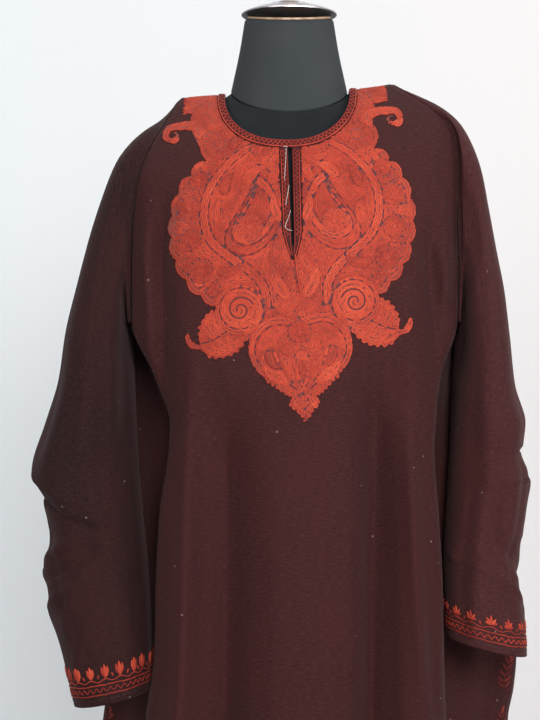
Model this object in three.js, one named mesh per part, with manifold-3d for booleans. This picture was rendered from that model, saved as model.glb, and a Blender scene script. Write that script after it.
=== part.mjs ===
// A pheran, a loose woollen gown with a wide neck and long sleeves, standing on a limbless dress form.
// Millimetres, +Z up, the front of the gown towards -Y, +X to the viewer's right, z = 0 on the floor.
// The cloth is a thin wall. Its outer face is worked out from short tables of sections, its inner face lies
// one cloth thickness inside, and the sewn panels stand a small seam gap apart.
import * as THREE from "three";
import { mergeVertices } from "three/addons/utils/BufferGeometryUtils.js";
import Module from "manifold-3d";

const wasm = await Module();
wasm.setup();

// Cloth
const CLOTH = 1.6; // thickness of the woollen cloth
const SEAM = 0.3; // gap between panels that are sewn together
const HEM = 360; // height of the hem above the floor
const UNDERARM = 1149; // height of the lowest point of the armholes
const SHOULDER = 1400; // level of the shoulder seam in the section tables

// Neckline and front slit
const NECK_LEFT = -70;
const NECK_RIGHT = 66;
const NECK_DROP_FRONT = 63; // from the shoulder seam down to the top of the slit
const NECK_DROP_BACK = 24;
const NECK_SQUARE = 2.3; // a little squarer than an ellipse
const BAND_WIDTH = 8; // bound edge of the neck and of the slit
const BAND_CLOTH = 1.2;
const BAND_CLEAR = 0.5; // a band lies this far off the panel under it
const SLIT_BOTTOM = 1226;
const BAND_POINT = 1212; // the two slit bands end here in a point
const BAND_TAPER = 34; // height over which a slit band narrows to that point
const BAND_TIP = 0.18; // share of its width that is left at the point
const BAND_PART = 0.3; // half of the gap between the two bands at the point
const SLIT_HALF_TOP = 2.2;
const SLIT_HALF_BOTTOM = 1.2;
const SLIT_X_TOP = -0.5;
const SLIT_X_BOTTOM = 2.5;
const SLIT_TOP = 1337; // the slit meets the neckline here

// Mesh fineness
const ACROSS = 24; // columns across the front, and across the back
const GORE_ACROSS = 9;
const SLEEVE_ALONG = 21;
const SLEEVE_AROUND = 24;
const FORM_AROUND = 28;

// Dress form
const NECK_BASE_SIDE = 1402; // side of the seam between neck and torso
const NECK_BASE_DROP = 28; // that seam is this much lower in front
const NECK_TOP_SIDE = 1483;
const NECK_TOP_DROP = 9;
const BOARD = 2.4; // wooden board on top of the neck
const CAP_RADIUS = 52.5;
const CAP_HEIGHT = 13;
const CAP_RIM = 2.2;
const BOSS_RADIUS = 21;
const BOSS_HEIGHT = 3.5;
const KNOB_RADIUS = 12;
const KNOB_STEM_RADIUS = 5.5;
const KNOB_STEM = 7;
const TORSO_BOTTOM = 845;
const POLE_RADIUS = 15;
const BASE_RADIUS = 195;
const BASE_HEIGHT = 16;
const HUB_RADIUS = 34;
const HUB_TOP = 62;

// A short table: the names of its columns, and a row of numbers for each section or fold.
function table(names, rows) {
  const columns = names.split(" ");
  return rows.map((row) => Object.fromEntries(columns.map((name, i) => [name, row[i]])));
}

// Front panel: a row for each height. x, y and z of its left and right edge, y and z of its middle, how
// square the section is, and the angle in degrees through which the section has turned at its edges.
const FRONT = table("level xl yl zl ym zm xr yr zr square turn", [
  [360, -188, -112, 360, -168, 360, 200, -112, 360, 3.0, 88],
  [560, -168, -104, 560, -158, 560, 180, -106, 560, 3.0, 88],
  [733, -151, -98, 733, -149, 733, 163, -98, 733, 3.0, 88],
  [810, -142, -94, 810, -145, 810, 161, -95, 810, 3.0, 88],
  [874, -141, -92, 874, -142, 874, 160, -93, 874, 2.9, 88],
  [949, -137, -90, 949, -139, 949, 156, -92, 949, 2.7, 86],
  [1013, -128, -86, 1013, -137, 1013, 152, -88, 1013, 2.5, 84],
  [1040, -127, -84, 1040, -136, 1040, 154, -84, 1040, 2.4, 82],
  [1090, -143, -79, 1090, -135, 1090, 160, -78, 1090, 2.3, 78],
  [1149, -168, -73, 1149, -134, 1149, 178, -73, 1149, 2.2, 72],
  [1200, -168, -72, 1204, -133, 1200, 179, -72, 1203, 2.2, 66],
  [1245, -167, -68, 1250, -127, 1245, 178, -68, 1250, 2.2, 62],
  [1290, -162, -60, 1298, -115, 1288, 180, -62, 1298, 2.1, 58],
  [1320, -156, -51, 1320, -102, 1317, 181, -55, 1328, 2.1, 56],
  [1345, -145, -40, 1345, -86, 1341, 176, -46, 1352, 2.0, 54],
  [1370, -131, -22, 1371, -60, 1368, 157, -33, 1376, 2.0, 52],
  [1388, -123, -8, 1387, -30, 1389, 131, -15, 1397, 2.0, 50],
  [1400, -118, 4, 1397, 4, 1402, 111, 4, 1412, 2.0, 50],
]);

// Back panel: the same columns.
const BACK = table("level xl yl zl ym zm xr yr zr square turn", [
  [360, -190, 118, 360, 150, 360, 205, 118, 360, 2.6, 84],
  [560, -176, 110, 560, 140, 560, 190, 110, 560, 2.6, 84],
  [733, -164, 102, 733, 130, 733, 178, 102, 733, 2.6, 84],
  [874, -152, 94, 874, 120, 874, 170, 95, 874, 2.5, 82],
  [1013, -146, 85, 1013, 110, 1013, 164, 87, 1013, 2.4, 80],
  [1090, -152, 77, 1090, 104, 1090, 166, 79, 1090, 2.3, 76],
  [1149, -168, 70, 1149, 100, 1149, 178, 70, 1149, 2.2, 72],
  [1200, -168, 70, 1204, 102, 1200, 179, 70, 1203, 2.2, 66],
  [1245, -167, 67, 1250, 103, 1245, 178, 67, 1250, 2.2, 62],
  [1290, -162, 60, 1298, 101, 1288, 180, 62, 1298, 2.1, 58],
  [1320, -156, 52, 1320, 95, 1320, 181, 56, 1328, 2.1, 56],
  [1345, -145, 42, 1345, 86, 1348, 176, 48, 1352, 2.0, 54],
  [1370, -131, 27, 1371, 72, 1374, 157, 37, 1376, 2.0, 52],
  [1388, -123, 15, 1387, 50, 1393, 131, 21, 1397, 2.0, 50],
  [1400, -118, 4, 1397, 4, 1402, 111, 4, 1412, 2.0, 50],
]);

// Side gores: behind the front panel each gore turns in to a valley, flares out to the side, and meets the
// back panel. x and y of the valley and of the outermost fold.
const GORE_LEFT = table("level xv yv xs ys", [
  [360, -180, -30, -250, 48],
  [560, -158, -30, -228, 48],
  [733, -134, -32, -205, 46],
  [810, -127, -34, -194, 44],
  [874, -125, -36, -186, 43],
  [949, -124, -38, -181, 43],
  [1013, -122, -38, -178, 44],
  [1090, -146, -30, -175, 46],
  [1149, -171, -24, -172, 24],
]);
const GORE_RIGHT = table("level xv yv xs ys", [
  [360, 190, -30, 264, 50],
  [560, 168, -30, 250, 50],
  [702, 150, -30, 247, 50],
  [741, 147, -30, 254, 49],
  [778, 145, -30, 258, 47],
  [850, 143, -32, 249, 45],
  [907, 142, -34, 228, 43],
  [975, 143, -36, 204, 42],
  [1040, 148, -34, 186, 44],
  [1090, 161, -30, 184, 54],
  [1149, 181, -24, 182, 24],
]);

// Sleeves: a row for each station down the sleeve. x and z of the outermost and innermost point of the
// section, y of its middle, and half its depth from front to back.
const SLEEVE_LEFT = table("station xo zo xi zi yc half", [
  [0, -119, 1397, -170, 1149, 0, 62],
  [1, -141, 1373, -173, 1146, -2, 71],
  [2, -163, 1357, -174, 1142, -3, 78],
  [3, -186, 1328, -175, 1136, -4, 85],
  [4, -205, 1281, -175, 1126, -6, 90],
  [5, -218, 1241, -174, 1112, -8, 92],
  [6, -231, 1190, -173, 1092, -12, 91],
  [7, -243, 1138, -171, 1068, -16, 87],
  [8, -250, 1088, -169, 1042, -20, 81],
  [9, -264, 1041, -166, 1010, -25, 75],
  [10, -281, 988, -161, 968, -31, 69],
  [11, -266, 956, -158, 940, -36, 67],
  [12, -258, 916, -154, 906, -42, 64],
  [13, -259, 878, -150, 868, -49, 61],
  [14, -253, 837, -147, 832, -58, 58],
  [15, -241, 795, -146, 797, -66, 55],
  [16, -228, 744, -146, 762, -74, 52],
]);
const SLEEVE_RIGHT = table("station xo zo xi zi yc half", [
  [0, 112, 1412, 180, 1149, 0, 62],
  [1, 133, 1403, 183, 1146, -2, 71],
  [2, 160, 1389, 184, 1142, -3, 78],
  [3, 188, 1364, 185, 1138, -4, 85],
  [4, 206, 1322, 185, 1130, -6, 91],
  [5, 214, 1281, 185, 1118, -8, 94],
  [6, 223, 1234, 184, 1102, -10, 93],
  [7, 233, 1184, 182, 1082, -13, 90],
  [8, 239, 1133, 180, 1060, -16, 86],
  [9, 244, 1083, 178, 1036, -20, 80],
  [10, 255, 1042, 175, 1008, -25, 74],
  [11, 252, 1013, 172, 984, -29, 71],
  [12, 258, 987, 170, 960, -34, 69],
  [13, 253, 942, 167, 924, -42, 66],
  [14, 246, 902, 165, 892, -49, 63],
  [15, 247, 862, 165, 862, -57, 60],
  [16, 250, 828, 165, 840, -64, 57],
  [17, 251, 796, 165, 817, -70, 54],
]);

// Largest folds of the front: each runs from its top (x, z) to its bottom. lift is positive for a ridge and
// negative for a trough, wide is its half-width.
const FRONT_FOLDS = table("xTop zTop xBottom zBottom lift wide", [
  [98, 1110, 86, 330, -15, 17],
  [124, 1090, 124, 330, 6, 16],
  [-66, 1060, -72, 330, -7, 26],
  [10, 1040, 14, 330, 5, 46],
  [-110, 1010, -120, 330, 5, 18],
  [-126, 1262, -132, 1110, -8, 13],
  [148, 1290, 146, 1120, -8, 12],
  [112, 1300, 160, 1235, 5, 12],
]);
const BACK_FOLDS = table("xTop zTop xBottom zBottom lift wide", [
  [-84, 1180, -96, 330, -12, 20],
  [92, 1150, 104, 330, -13, 19],
  [4, 1250, 0, 330, 7, 42],
  [-134, 1120, -142, 330, 6, 18],
  [140, 1100, 150, 330, 6, 18],
]);

// Largest folds of the sleeves, in stations down the sleeve and degrees round it from its outer edge, where
// 90 is the front. round is the half-width in degrees.
const SLEEVE_FOLDS_LEFT = table("fromStation fromAngle toStation toAngle lift round", [
  [2.0, 78, 9.0, 112, -6, 16],
  [3.0, 40, 10.5, 62, 5, 18],
  [10.8, 8, 11.4, 84, -7, 20],
  [12.6, 6, 11.8, 74, 5, 18],
  [4.0, 250, 10.0, 268, -7, 18],
  [8.0, 300, 15.0, 285, 5, 20],
]);
const SLEEVE_FOLDS_RIGHT = table("fromStation fromAngle toStation toAngle lift round", [
  [2.5, 86, 10.0, 118, -6, 16],
  [4.0, 44, 13.0, 70, 5, 18],
  [11.0, 4, 10.8, 80, -6, 20],
  [14.6, 6, 13.4, 84, -5, 18],
  [4.0, 256, 11.0, 272, -7, 18],
  [9.0, 302, 16.0, 286, 5, 20],
]);

// Torso of the dress form: height at the sides, half-width, depth to the front and to the back of x = 0, and
// how much lower the front of the section is than its sides.
const TORSO = table("z wide front back drop", [
  [845, 108, 84, 80, 0],
  [860, 120, 94, 90, 0],
  [905, 124, 97, 92, 0],
  [960, 120, 94, 86, 0],
  [1020, 114, 91, 78, 0],
  [1090, 126, 102, 80, 0],
  [1150, 144, 117, 86, 0],
  [1200, 153, 124, 90, 0],
  [1240, 157, 117, 92, 2],
  [1280, 158, 103, 89, 5],
  [1315, 155, 90, 82, 10],
  [1345, 143, 77, 70, 18],
  [1368, 122, 67, 61, 24],
  [1385, 94, 59, 53, 27],
  [1396, 70.6, 56, 51, 28],
]);
const TORSO_SQUARE = 2.15;
const DROP_BACK = 0.3; // the back of a section is lowered by this share of its front
const DROP_POWER = 1.15; // how soon the lowering sets in behind and before the shoulder line

const neckBase = { wide: 64, front: 55, back: 50 };
const neckMiddle = { z: 1449, wide: 54, front: 49, back: 48, drop: 16 };
const neckTop = { wide: 48.5, front: 46, back: 45 };

const LEVELS_BODY = [360, 440, 520, 600, 675, 745, 810, 870, 930, 985, 1035, 1080, 1118, UNDERARM];
const LEVELS_YOKE = [1185, 1220, 1255, 1288, 1316, 1341, 1362, 1380, 1392, SHOULDER];

// Reads every column of a table at any key, by a smooth curve that never overshoots its rows.
function reader(rows, key) {
  const at = rows.map((row) => row[key]);
  const columns = Object.keys(rows[0]).filter((name) => name !== key);
  const slopes = {};
  for (const name of columns) {
    const value = rows.map((row) => row[name]);
    const step = value.slice(1).map((v, i) => (v - value[i]) / (at[i + 1] - at[i]));
    slopes[name] = value.map((v, i) => {
      if (i === 0) return step[0];
      if (i === value.length - 1) return step[i - 1];
      return step[i - 1] * step[i] <= 0 ? 0 : (2 * step[i - 1] * step[i]) / (step[i - 1] + step[i]);
    });
  }
  return (k) => {
    const clamped = Math.min(Math.max(k, at[0]), at[at.length - 1]);
    let i = at.findIndex((a, n) => n > 0 && clamped <= a) - 1;
    if (i < 0) i = at.length - 2;
    const span = at[i + 1] - at[i];
    const t = (clamped - at[i]) / span;
    const out = {};
    for (const name of columns) {
      const a = rows[i][name];
      const b = rows[i + 1][name];
      const ma = slopes[name][i] * span;
      const mb = slopes[name][i + 1] * span;
      const t2 = t * t;
      const t3 = t2 * t;
      out[name] = (2 * t3 - 3 * t2 + 1) * a + (t3 - 2 * t2 + t) * ma + (3 * t2 - 2 * t3) * b + (t3 - t2) * mb;
    }
    return out;
  };
}

const frontRow = reader(FRONT, "level");
const backRow = reader(BACK, "level");
const goreRow = { left: reader(GORE_LEFT, "level"), right: reader(GORE_RIGHT, "level") };
const torsoRow = reader(TORSO, "z");

const degrees = (angle) => (angle * Math.PI) / 180;
const mix = (a, b, t) => a + (b - a) * t;
const smooth = (t) => {
  const u = Math.min(Math.max(t, 0), 1);
  return u * u * (3 - 2 * u);
};

// Height of all folds of a panel at x, z. A fold fades in below its top over FADE mm.
const FADE = 110;
function foldLift(folds, x, z) {
  let lift = 0;
  for (const fold of folds) {
    const run = (fold.zTop - z) / (fold.zTop - fold.zBottom);
    const offset = (x - mix(fold.xTop, fold.xBottom, run)) / fold.wide;
    const pastHem = fold.zBottom < HEM ? 1 : 0;
    const fade = smooth((fold.zTop - z) / FADE) * smooth((z - fold.zBottom) / FADE + pastHem);
    lift += fold.lift * fade * Math.exp(-offset * offset);
  }
  return lift;
}

// A point of the front or back panel. s runs from -1 at the left edge to 1 at the right edge.
function panelPoint(row, folds, outward, level, s) {
  const r = row(level);
  const side = s < 0 ? { x: r.xl, y: r.yl, z: r.zl } : { x: r.xr, y: r.yr, z: r.zr };
  const power = 2 / r.square;
  const angle = Math.abs(s) * degrees(r.turn);
  const across = Math.pow(Math.sin(angle) / Math.sin(degrees(r.turn)), power);
  const back = (1 - Math.pow(Math.cos(angle), power)) / (1 - Math.pow(Math.cos(degrees(r.turn)), power));
  const x = side.x * across;
  const z = mix(r.zm, side.z, across * across);
  const settle = 1 - Math.pow(Math.abs(s), 6);
  const y = mix(r.ym, side.y, back) + outward * settle * foldLift(folds, x, z);
  return new THREE.Vector3(x, y, z);
}
const frontPoint = (level, s) => panelPoint(frontRow, FRONT_FOLDS, -1, level, s);
const backPoint = (level, s) => panelPoint(backRow, BACK_FOLDS, 1, level, -s);

// A point of a gore: u runs from 0 at the front panel to 1 at the back panel.
function gorePoint(side, level, u) {
  const sign = side === "left" ? -1 : 1;
  const r = goreRow[side](level);
  const front = frontPoint(level, sign);
  const back = backPoint(level, -sign);
  const curve = new THREE.CatmullRomCurve3(
    [
      front,
      new THREE.Vector3(mix(front.x, r.xv, 0.75), mix(front.y, r.yv, 0.5), level),
      new THREE.Vector3(r.xv, r.yv, level),
      new THREE.Vector3(mix(r.xv, r.xs, 0.62), mix(r.yv, r.ys, 0.6), level),
      new THREE.Vector3(r.xs, r.ys, level),
      new THREE.Vector3(mix(r.xs, back.x, 0.5), mix(r.ys, back.y, 0.62), level),
      back,
    ],
    false,
    "centripetal",
  );
  return curve.getPointAt(u);
}

// Turns a triangle list into one closed geometry with merged corners.
function geometryOf(points, triangles) {
  const position = new Float32Array(points.length * 3);
  points.forEach((p, i) => p.toArray(position, i * 3));
  const geometry = new THREE.BufferGeometry();
  geometry.setAttribute("position", new THREE.BufferAttribute(position, 3));
  geometry.setIndex(triangles);
  return geometry;
}

// Closes an outer and an inner grid of points into a wall. Grid rows go up, columns go round so that the
// outer face is on the right-hand side of the way they run. A tube's last column joins its first.
function wallGeometry(outer, inner, tube) {
  const rows = outer.length;
  const columns = outer[0].length;
  const points = [...outer.flat(), ...inner.flat()];
  const layer = rows * columns;
  const triangles = [];
  const quad = (a, b, c, d) => triangles.push(a, b, c, a, c, d);
  const last = tube ? columns : columns - 1;
  for (let i = 0; i < rows - 1; i++) {
    for (let j = 0; j < last; j++) {
      const k = (j + 1) % columns;
      const a = i * columns + j;
      const b = i * columns + k;
      const c = (i + 1) * columns + k;
      const d = (i + 1) * columns + j;
      quad(a, b, c, d);
      quad(layer + b, layer + a, layer + d, layer + c);
    }
  }
  for (let j = 0; j < last; j++) {
    const k = (j + 1) % columns;
    const top = (rows - 1) * columns;
    quad(j, j + layer, k + layer, k);
    quad(top + j, top + k, top + k + layer, top + j + layer);
  }
  if (!tube) {
    for (let i = 0; i < rows - 1; i++) {
      const low = i * columns;
      const high = (i + 1) * columns;
      quad(low, high, high + layer, low + layer);
      const end = columns - 1;
      quad(low + end, low + end + layer, high + end + layer, high + end);
    }
  }
  return geometryOf(points, triangles);
}

// Outward directions at the points of a grid.
function gridNormals(grid, tube) {
  const rows = grid.length;
  const columns = grid[0].length;
  return grid.map((line, i) =>
    line.map((_, j) => {
      const left = tube ? (j + columns - 1) % columns : Math.max(j - 1, 0);
      const right = tube ? (j + 1) % columns : Math.min(j + 1, columns - 1);
      const across = new THREE.Vector3().subVectors(grid[i][right], grid[i][left]);
      const above = grid[Math.min(i + 1, rows - 1)][j];
      const below = grid[Math.max(i - 1, 0)][j];
      const up = new THREE.Vector3().subVectors(above, below);
      return across.cross(up).normalize();
    }),
  );
}

// Averages the directions of two seam lines, so that both panels end on parallel faces.
function shareSeam(first, second) {
  first.forEach((n, i) => {
    const shared = n.clone().add(second[i]).normalize();
    n.copy(shared);
    second[i].copy(shared);
  });
}

function offsetGrid(grid, normals, distance) {
  return grid.map((line, i) => line.map((p, j) => p.clone().addScaledVector(normals[i][j], distance)));
}

// Draws the edge columns in by half a seam, and the top row too where asked.
function drawIn(grid, top) {
  const half = SEAM / 2;
  const towards = (p, q) => p.clone().addScaledVector(new THREE.Vector3().subVectors(q, p).normalize(), half);
  const columns = grid[0].length;
  const drawn = grid.map((line) =>
    line.map((p, j) => (j === 0 ? towards(p, line[1]) : j === columns - 1 ? towards(p, line[columns - 2]) : p)),
  );
  if (top) {
    const n = drawn.length - 1;
    drawn[n] = drawn[n].map((p, j) => towards(p, drawn[n - 1][j]));
  }
  return drawn;
}

const range = (n) => Array.from({ length: n + 1 }, (_, i) => i / n);

// The four panels of the body, on shared rows and shared seam lines.
const levels = [...LEVELS_BODY, ...LEVELS_YOKE];
const bodyGrid = {
  front: levels.map((level) => range(ACROSS).map((t) => frontPoint(level, 2 * t - 1))),
  back: levels.map((level) => range(ACROSS).map((t) => backPoint(level, 2 * t - 1))),
  gore_right: LEVELS_BODY.map((level) => range(GORE_ACROSS).map((t) => gorePoint("right", level, t))),
  gore_left: LEVELS_BODY.map((level) => range(GORE_ACROSS).map((t) => gorePoint("left", level, 1 - t))),
};
const bodyNormals = Object.fromEntries(
  Object.entries(bodyGrid).map(([name, grid]) => [name, gridNormals(grid, false)]),
);
const column = (name, j) => {
  const lines = bodyNormals[name].slice(0, LEVELS_BODY.length);
  return lines.map((line) => line[j < 0 ? line.length + j : j]);
};
shareSeam(column("front", -1), column("gore_right", 0));
shareSeam(column("gore_right", -1), column("back", 0));
shareSeam(column("back", -1), column("gore_left", 0));
shareSeam(column("gore_left", -1), column("front", 0));
shareSeam(bodyNormals.front.at(-1), [...bodyNormals.back.at(-1)].reverse());

function bodyWall(name, top) {
  const grid = drawIn(bodyGrid[name], top);
  const inner = offsetGrid(grid, bodyNormals[name], -CLOTH);
  return wallGeometry(grid, inner, false);
}

// The same panel, thicker and past its edges by the seam gap, to trim what is sewn to it.
function trimWall(name) {
  const grid = bodyGrid[name];
  const wider = grid.map((line) => {
    const n = line.length - 1;
    const past = (p, q) => p.clone().addScaledVector(new THREE.Vector3().subVectors(p, q).normalize(), SEAM);
    return line.map((p, j) => (j === 0 ? past(p, line[1]) : j === n ? past(p, line[n - 1]) : p.clone()));
  });
  const n = wider.length - 1;
  wider[n] = wider[n].map((p, j) =>
    p.clone().addScaledVector(new THREE.Vector3().subVectors(p, wider[n - 1][j]).normalize(), SEAM),
  );
  return wallGeometry(
    offsetGrid(wider, bodyNormals[name], SEAM),
    offsetGrid(wider, bodyNormals[name], -CLOTH - SEAM),
    false,
  );
}

// manifold-3d joins and cuts closed geometries.
function solidOf(geometry) {
  const plain = geometry.clone();
  plain.deleteAttribute("normal");
  plain.deleteAttribute("uv");
  const merged = mergeVertices(plain, 1e-4);
  return new wasm.Manifold(
    new wasm.Mesh({
      numProp: 3,
      vertProperties: new Float32Array(merged.attributes.position.array),
      triVerts: new Uint32Array(merged.index.array),
    }),
  );
}
function geometryFrom(solid) {
  const pieces = solid.decompose().sort((a, b) => b.volume() - a.volume());
  const mesh = pieces[0].getMesh();
  const position = new Float32Array(mesh.numVert * 3);
  for (let i = 0; i < mesh.numVert; i++) {
    for (let k = 0; k < 3; k++) position[3 * i + k] = mesh.vertProperties[i * mesh.numProp + k];
  }
  const geometry = new THREE.BufferGeometry();
  geometry.setAttribute("position", new THREE.BufferAttribute(position, 3));
  geometry.setIndex([...mesh.triVerts]);
  return geometry;
}

// Neckline, seen from the front: an oval whose ends lie on the shoulder seam. grow moves it outwards, and
// turn runs from 0 at the left shoulder over the middle to 1 at the right shoulder.
function necklineXZ(turn, drop, grow) {
  const middle = (NECK_LEFT + NECK_RIGHT) / 2;
  const half = (NECK_RIGHT - NECK_LEFT) / 2 + grow;
  const angle = Math.PI * turn;
  const power = 2 / NECK_SQUARE;
  const cos = Math.cos(angle);
  const x = middle - half * Math.sign(cos) * Math.pow(Math.abs(cos), power);
  const seam = frontPoint(SHOULDER, x < 0 ? x / -frontRow(SHOULDER).xl : x / frontRow(SHOULDER).xr);
  const fall = (drop + grow) * Math.pow(Math.abs(Math.sin(angle)), power);
  return { x, z: seam.z - fall };
}

// Finds s for an x on a row of a panel, then the level for a height, and so the panel point at x, z.
function acrossAt(row, level, x) {
  const r = row(level);
  const share = Math.min(Math.abs(x / (x < 0 ? r.xl : r.xr)), 1);
  const angle = Math.asin(Math.pow(share, r.square / 2) * Math.sin(degrees(r.turn)));
  return (Math.sign(x) * angle) / degrees(r.turn);
}
function panelAt(isFront, x, z) {
  const row = isFront ? frontRow : backRow;
  const point = (level) => {
    const s = acrossAt(row, level, x);
    return isFront ? frontPoint(level, s) : backPoint(level, -s);
  };
  let low = UNDERARM;
  let high = SHOULDER;
  for (let step = 0; step < 40; step++) {
    const level = (low + high) / 2;
    if (point(level).z < z) low = level;
    else high = level;
  }
  const level = (low + high) / 2;
  const delta = 1.5;
  const below = point(level - delta);
  const s = acrossAt(row, level, x);
  const panel = (t) => (isFront ? frontPoint(level, t) : backPoint(level, -t));
  const here = panel(s);
  const up = new THREE.Vector3().subVectors(here, below);
  const right = new THREE.Vector3().subVectors(panel(s + 0.01), panel(s - 0.01));
  const normal = right.cross(up).normalize();
  if (!isFront) normal.negate();
  return { point: here, normal };
}

// Prism through the cloth, from a closed outline in x and z.
function prism(outline, yFrom, yTo) {
  const shape = new THREE.Shape(outline.map((p) => new THREE.Vector2(p.x, p.z)));
  const geometry = new THREE.ExtrudeGeometry(shape, { depth: yTo - yFrom, bevelEnabled: false });
  geometry.rotateX(Math.PI / 2);
  geometry.translate(0, yTo, 0);
  return solidOf(geometry);
}
const ABOVE = SHOULDER + 60; // cutters reach past the cloth, upwards
const CUT_REACH = 300; // and outwards
const CUT_PAST_RIDGE = 60;
function neckCutter(drop, yFrom, yTo) {
  const curve = range(36).map((t) => necklineXZ(t, drop, 0));
  const outline = [{ x: NECK_LEFT, z: ABOVE }, ...curve, { x: NECK_RIGHT, z: ABOVE }];
  return prism(outline, yFrom, yTo);
}
const slitRun = (z) => (z - SLIT_BOTTOM) / (SLIT_TOP - SLIT_BOTTOM);
const slitX = (z) => mix(SLIT_X_BOTTOM, SLIT_X_TOP, slitRun(z));
const slitHalf = (z) => mix(SLIT_HALF_BOTTOM, SLIT_HALF_TOP, slitRun(z));
const CUT_TOP = SLIT_TOP + 20;
const slitCutter = prism(
  [
    { x: slitX(CUT_TOP) - slitHalf(CUT_TOP), z: CUT_TOP },
    { x: slitX(SLIT_BOTTOM) - slitHalf(SLIT_BOTTOM), z: SLIT_BOTTOM },
    { x: slitX(SLIT_BOTTOM) + slitHalf(SLIT_BOTTOM), z: SLIT_BOTTOM },
    { x: slitX(CUT_TOP) + slitHalf(CUT_TOP), z: CUT_TOP },
  ],
  -CUT_REACH,
  0,
);

const frontNeck = neckCutter(NECK_DROP_FRONT, -CUT_REACH, CUT_PAST_RIDGE);
const backNeck = neckCutter(NECK_DROP_BACK, -CUT_PAST_RIDGE, CUT_REACH);
const frontGeometry = geometryFrom(solidOf(bodyWall("front", true)).subtract(frontNeck).subtract(slitCutter));
const backGeometry = geometryFrom(solidOf(bodyWall("back", true)).subtract(backNeck));

// The armhole as a closed line, from the shoulder down the front edge, under the arm and up the back edge.
function armhole(side) {
  const sign = side === "left" ? -1 : 1;
  const steps = 30;
  const front = range(steps).map((t) => frontPoint(mix(SHOULDER, UNDERARM, t), sign));
  const under = range(steps).map((t) => gorePoint(side, UNDERARM, t));
  const back = range(steps).map((t) => backPoint(mix(UNDERARM, SHOULDER, t), -sign));
  const line = [...front, ...under.slice(1, -1), ...back.slice(0, -1)];
  return new THREE.CatmullRomCurve3(line, true, "centripetal");
}

// A sleeve is a tube. Each section is an oval in the slanted plane of its station, and near the armhole the
// oval gives way to the armhole's own line. turn goes round from the outer edge by way of the front.
const SLEEVE_SQUARE = 2.15;
const BLEND_STATIONS = 3.2;
function sleeveShape(side, rows, folds) {
  const row = reader(rows, "station");
  const lastStation = rows.at(-1).station;
  const hole = armhole(side);
  const sign = side === "left" ? -1 : 1;
  const signedPower = (v) => Math.sign(v) * Math.pow(Math.abs(v), 2 / SLEEVE_SQUARE);
  const oval = (station, turn) => {
    const r = row(station);
    const angle = 2 * Math.PI * turn;
    const out = signedPower(Math.cos(angle));
    const front = signedPower(Math.sin(angle));
    return new THREE.Vector3(
      mix(r.xi, r.xo, (1 + out) / 2),
      r.yc - r.half * front,
      mix(r.zi, r.zo, (1 + out) / 2),
    );
  };
  return (station, turn) => {
    const p = oval(station, turn);
    const settle = 1 - smooth(station / BLEND_STATIONS);
    if (settle > 0) {
      p.addScaledVector(hole.getPointAt(turn).sub(oval(0, turn)), settle);
    }
    const r = row(station);
    const centre = new THREE.Vector3((r.xo + r.xi) / 2, r.yc, (r.zo + r.zi) / 2);
    const outwards = new THREE.Vector3().subVectors(p, centre).normalize();
    let lift = 0;
    for (const fold of folds) {
      const run = (station - fold.fromStation) / (fold.toStation - fold.fromStation || 1);
      const along = Math.min(Math.max(run, 0), 1);
      const past = (run - along) * (fold.toStation - fold.fromStation);
      const at = mix(fold.fromAngle, fold.toAngle, along);
      const round = ((((turn * 360 - at) % 360) + 540) % 360) - 180;
      lift += fold.lift * Math.exp(-((round / fold.round) ** 2) - (past / 0.9) ** 2);
    }
    p.addScaledVector(outwards, lift * smooth(station / 2) * smooth((lastStation - station) / 1.5 + 0.2));
    if (station === 0) p.x += sign * 1.5 * SEAM;
    return p;
  };
}

function sleeveSolid(side, rows, folds) {
  const shape = sleeveShape(side, rows, folds);
  const stations = range(SLEEVE_ALONG).map((t) => t * rows.at(-1).station);
  const direction = side === "left" ? 1 : -1;
  // rows run up the sleeve from the cuff, columns so that the outer face is outside
  const grid = [...stations].reverse().map((station) =>
    Array.from({ length: SLEEVE_AROUND }, (_, j) => {
      const turn = j / SLEEVE_AROUND;
      return shape(station, direction > 0 ? turn : (1 - turn) % 1);
    }),
  );
  const normals = gridNormals(grid, true);
  let solid = solidOf(wallGeometry(grid, offsetGrid(grid, normals, -CLOTH), true));
  for (const name of ["front", "back", side === "left" ? "gore_left" : "gore_right"]) {
    solid = solid.subtract(solidOf(trimWall(name)));
  }
  return geometryFrom(solid);
}

// Bound edge of the neck: a flat ring that lies on the front and back panels round the neckline.
function neckBand() {
  const steps = 26;
  const line = (isFront, turn, grow) => {
    const at = necklineXZ(turn, isFront ? NECK_DROP_FRONT : NECK_DROP_BACK, grow);
    return panelAt(isFront, at.x, at.z);
  };
  // close steps near the shoulder seam, where the cloth turns over the form
  const turns = range(steps).map((t) => (1 - Math.cos(Math.PI * t)) / 2);
  const loop = (grow) => [
    ...turns.map((t) => line(true, t, grow)),
    ...turns.slice(1, -1).map((t) => line(false, 1 - t, grow)),
  ];
  const shared = (list, i, other) => list[i].normal.add(other.normal).normalize();
  const grows = [BAND_WIDTH, BAND_WIDTH / 2, 0.2];
  const lines = grows.map((grow) => {
    const list = loop(grow);
    shared(list, 0, line(false, 0, grow));
    shared(list, steps, line(false, 1, grow));
    return list;
  });
  const lift = (distance) =>
    lines.map((list) => list.map((q) => q.point.clone().addScaledVector(q.normal, distance)));
  return wallGeometry(lift(BAND_CLEAR + BAND_CLOTH), lift(BAND_CLEAR), true);
}

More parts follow.
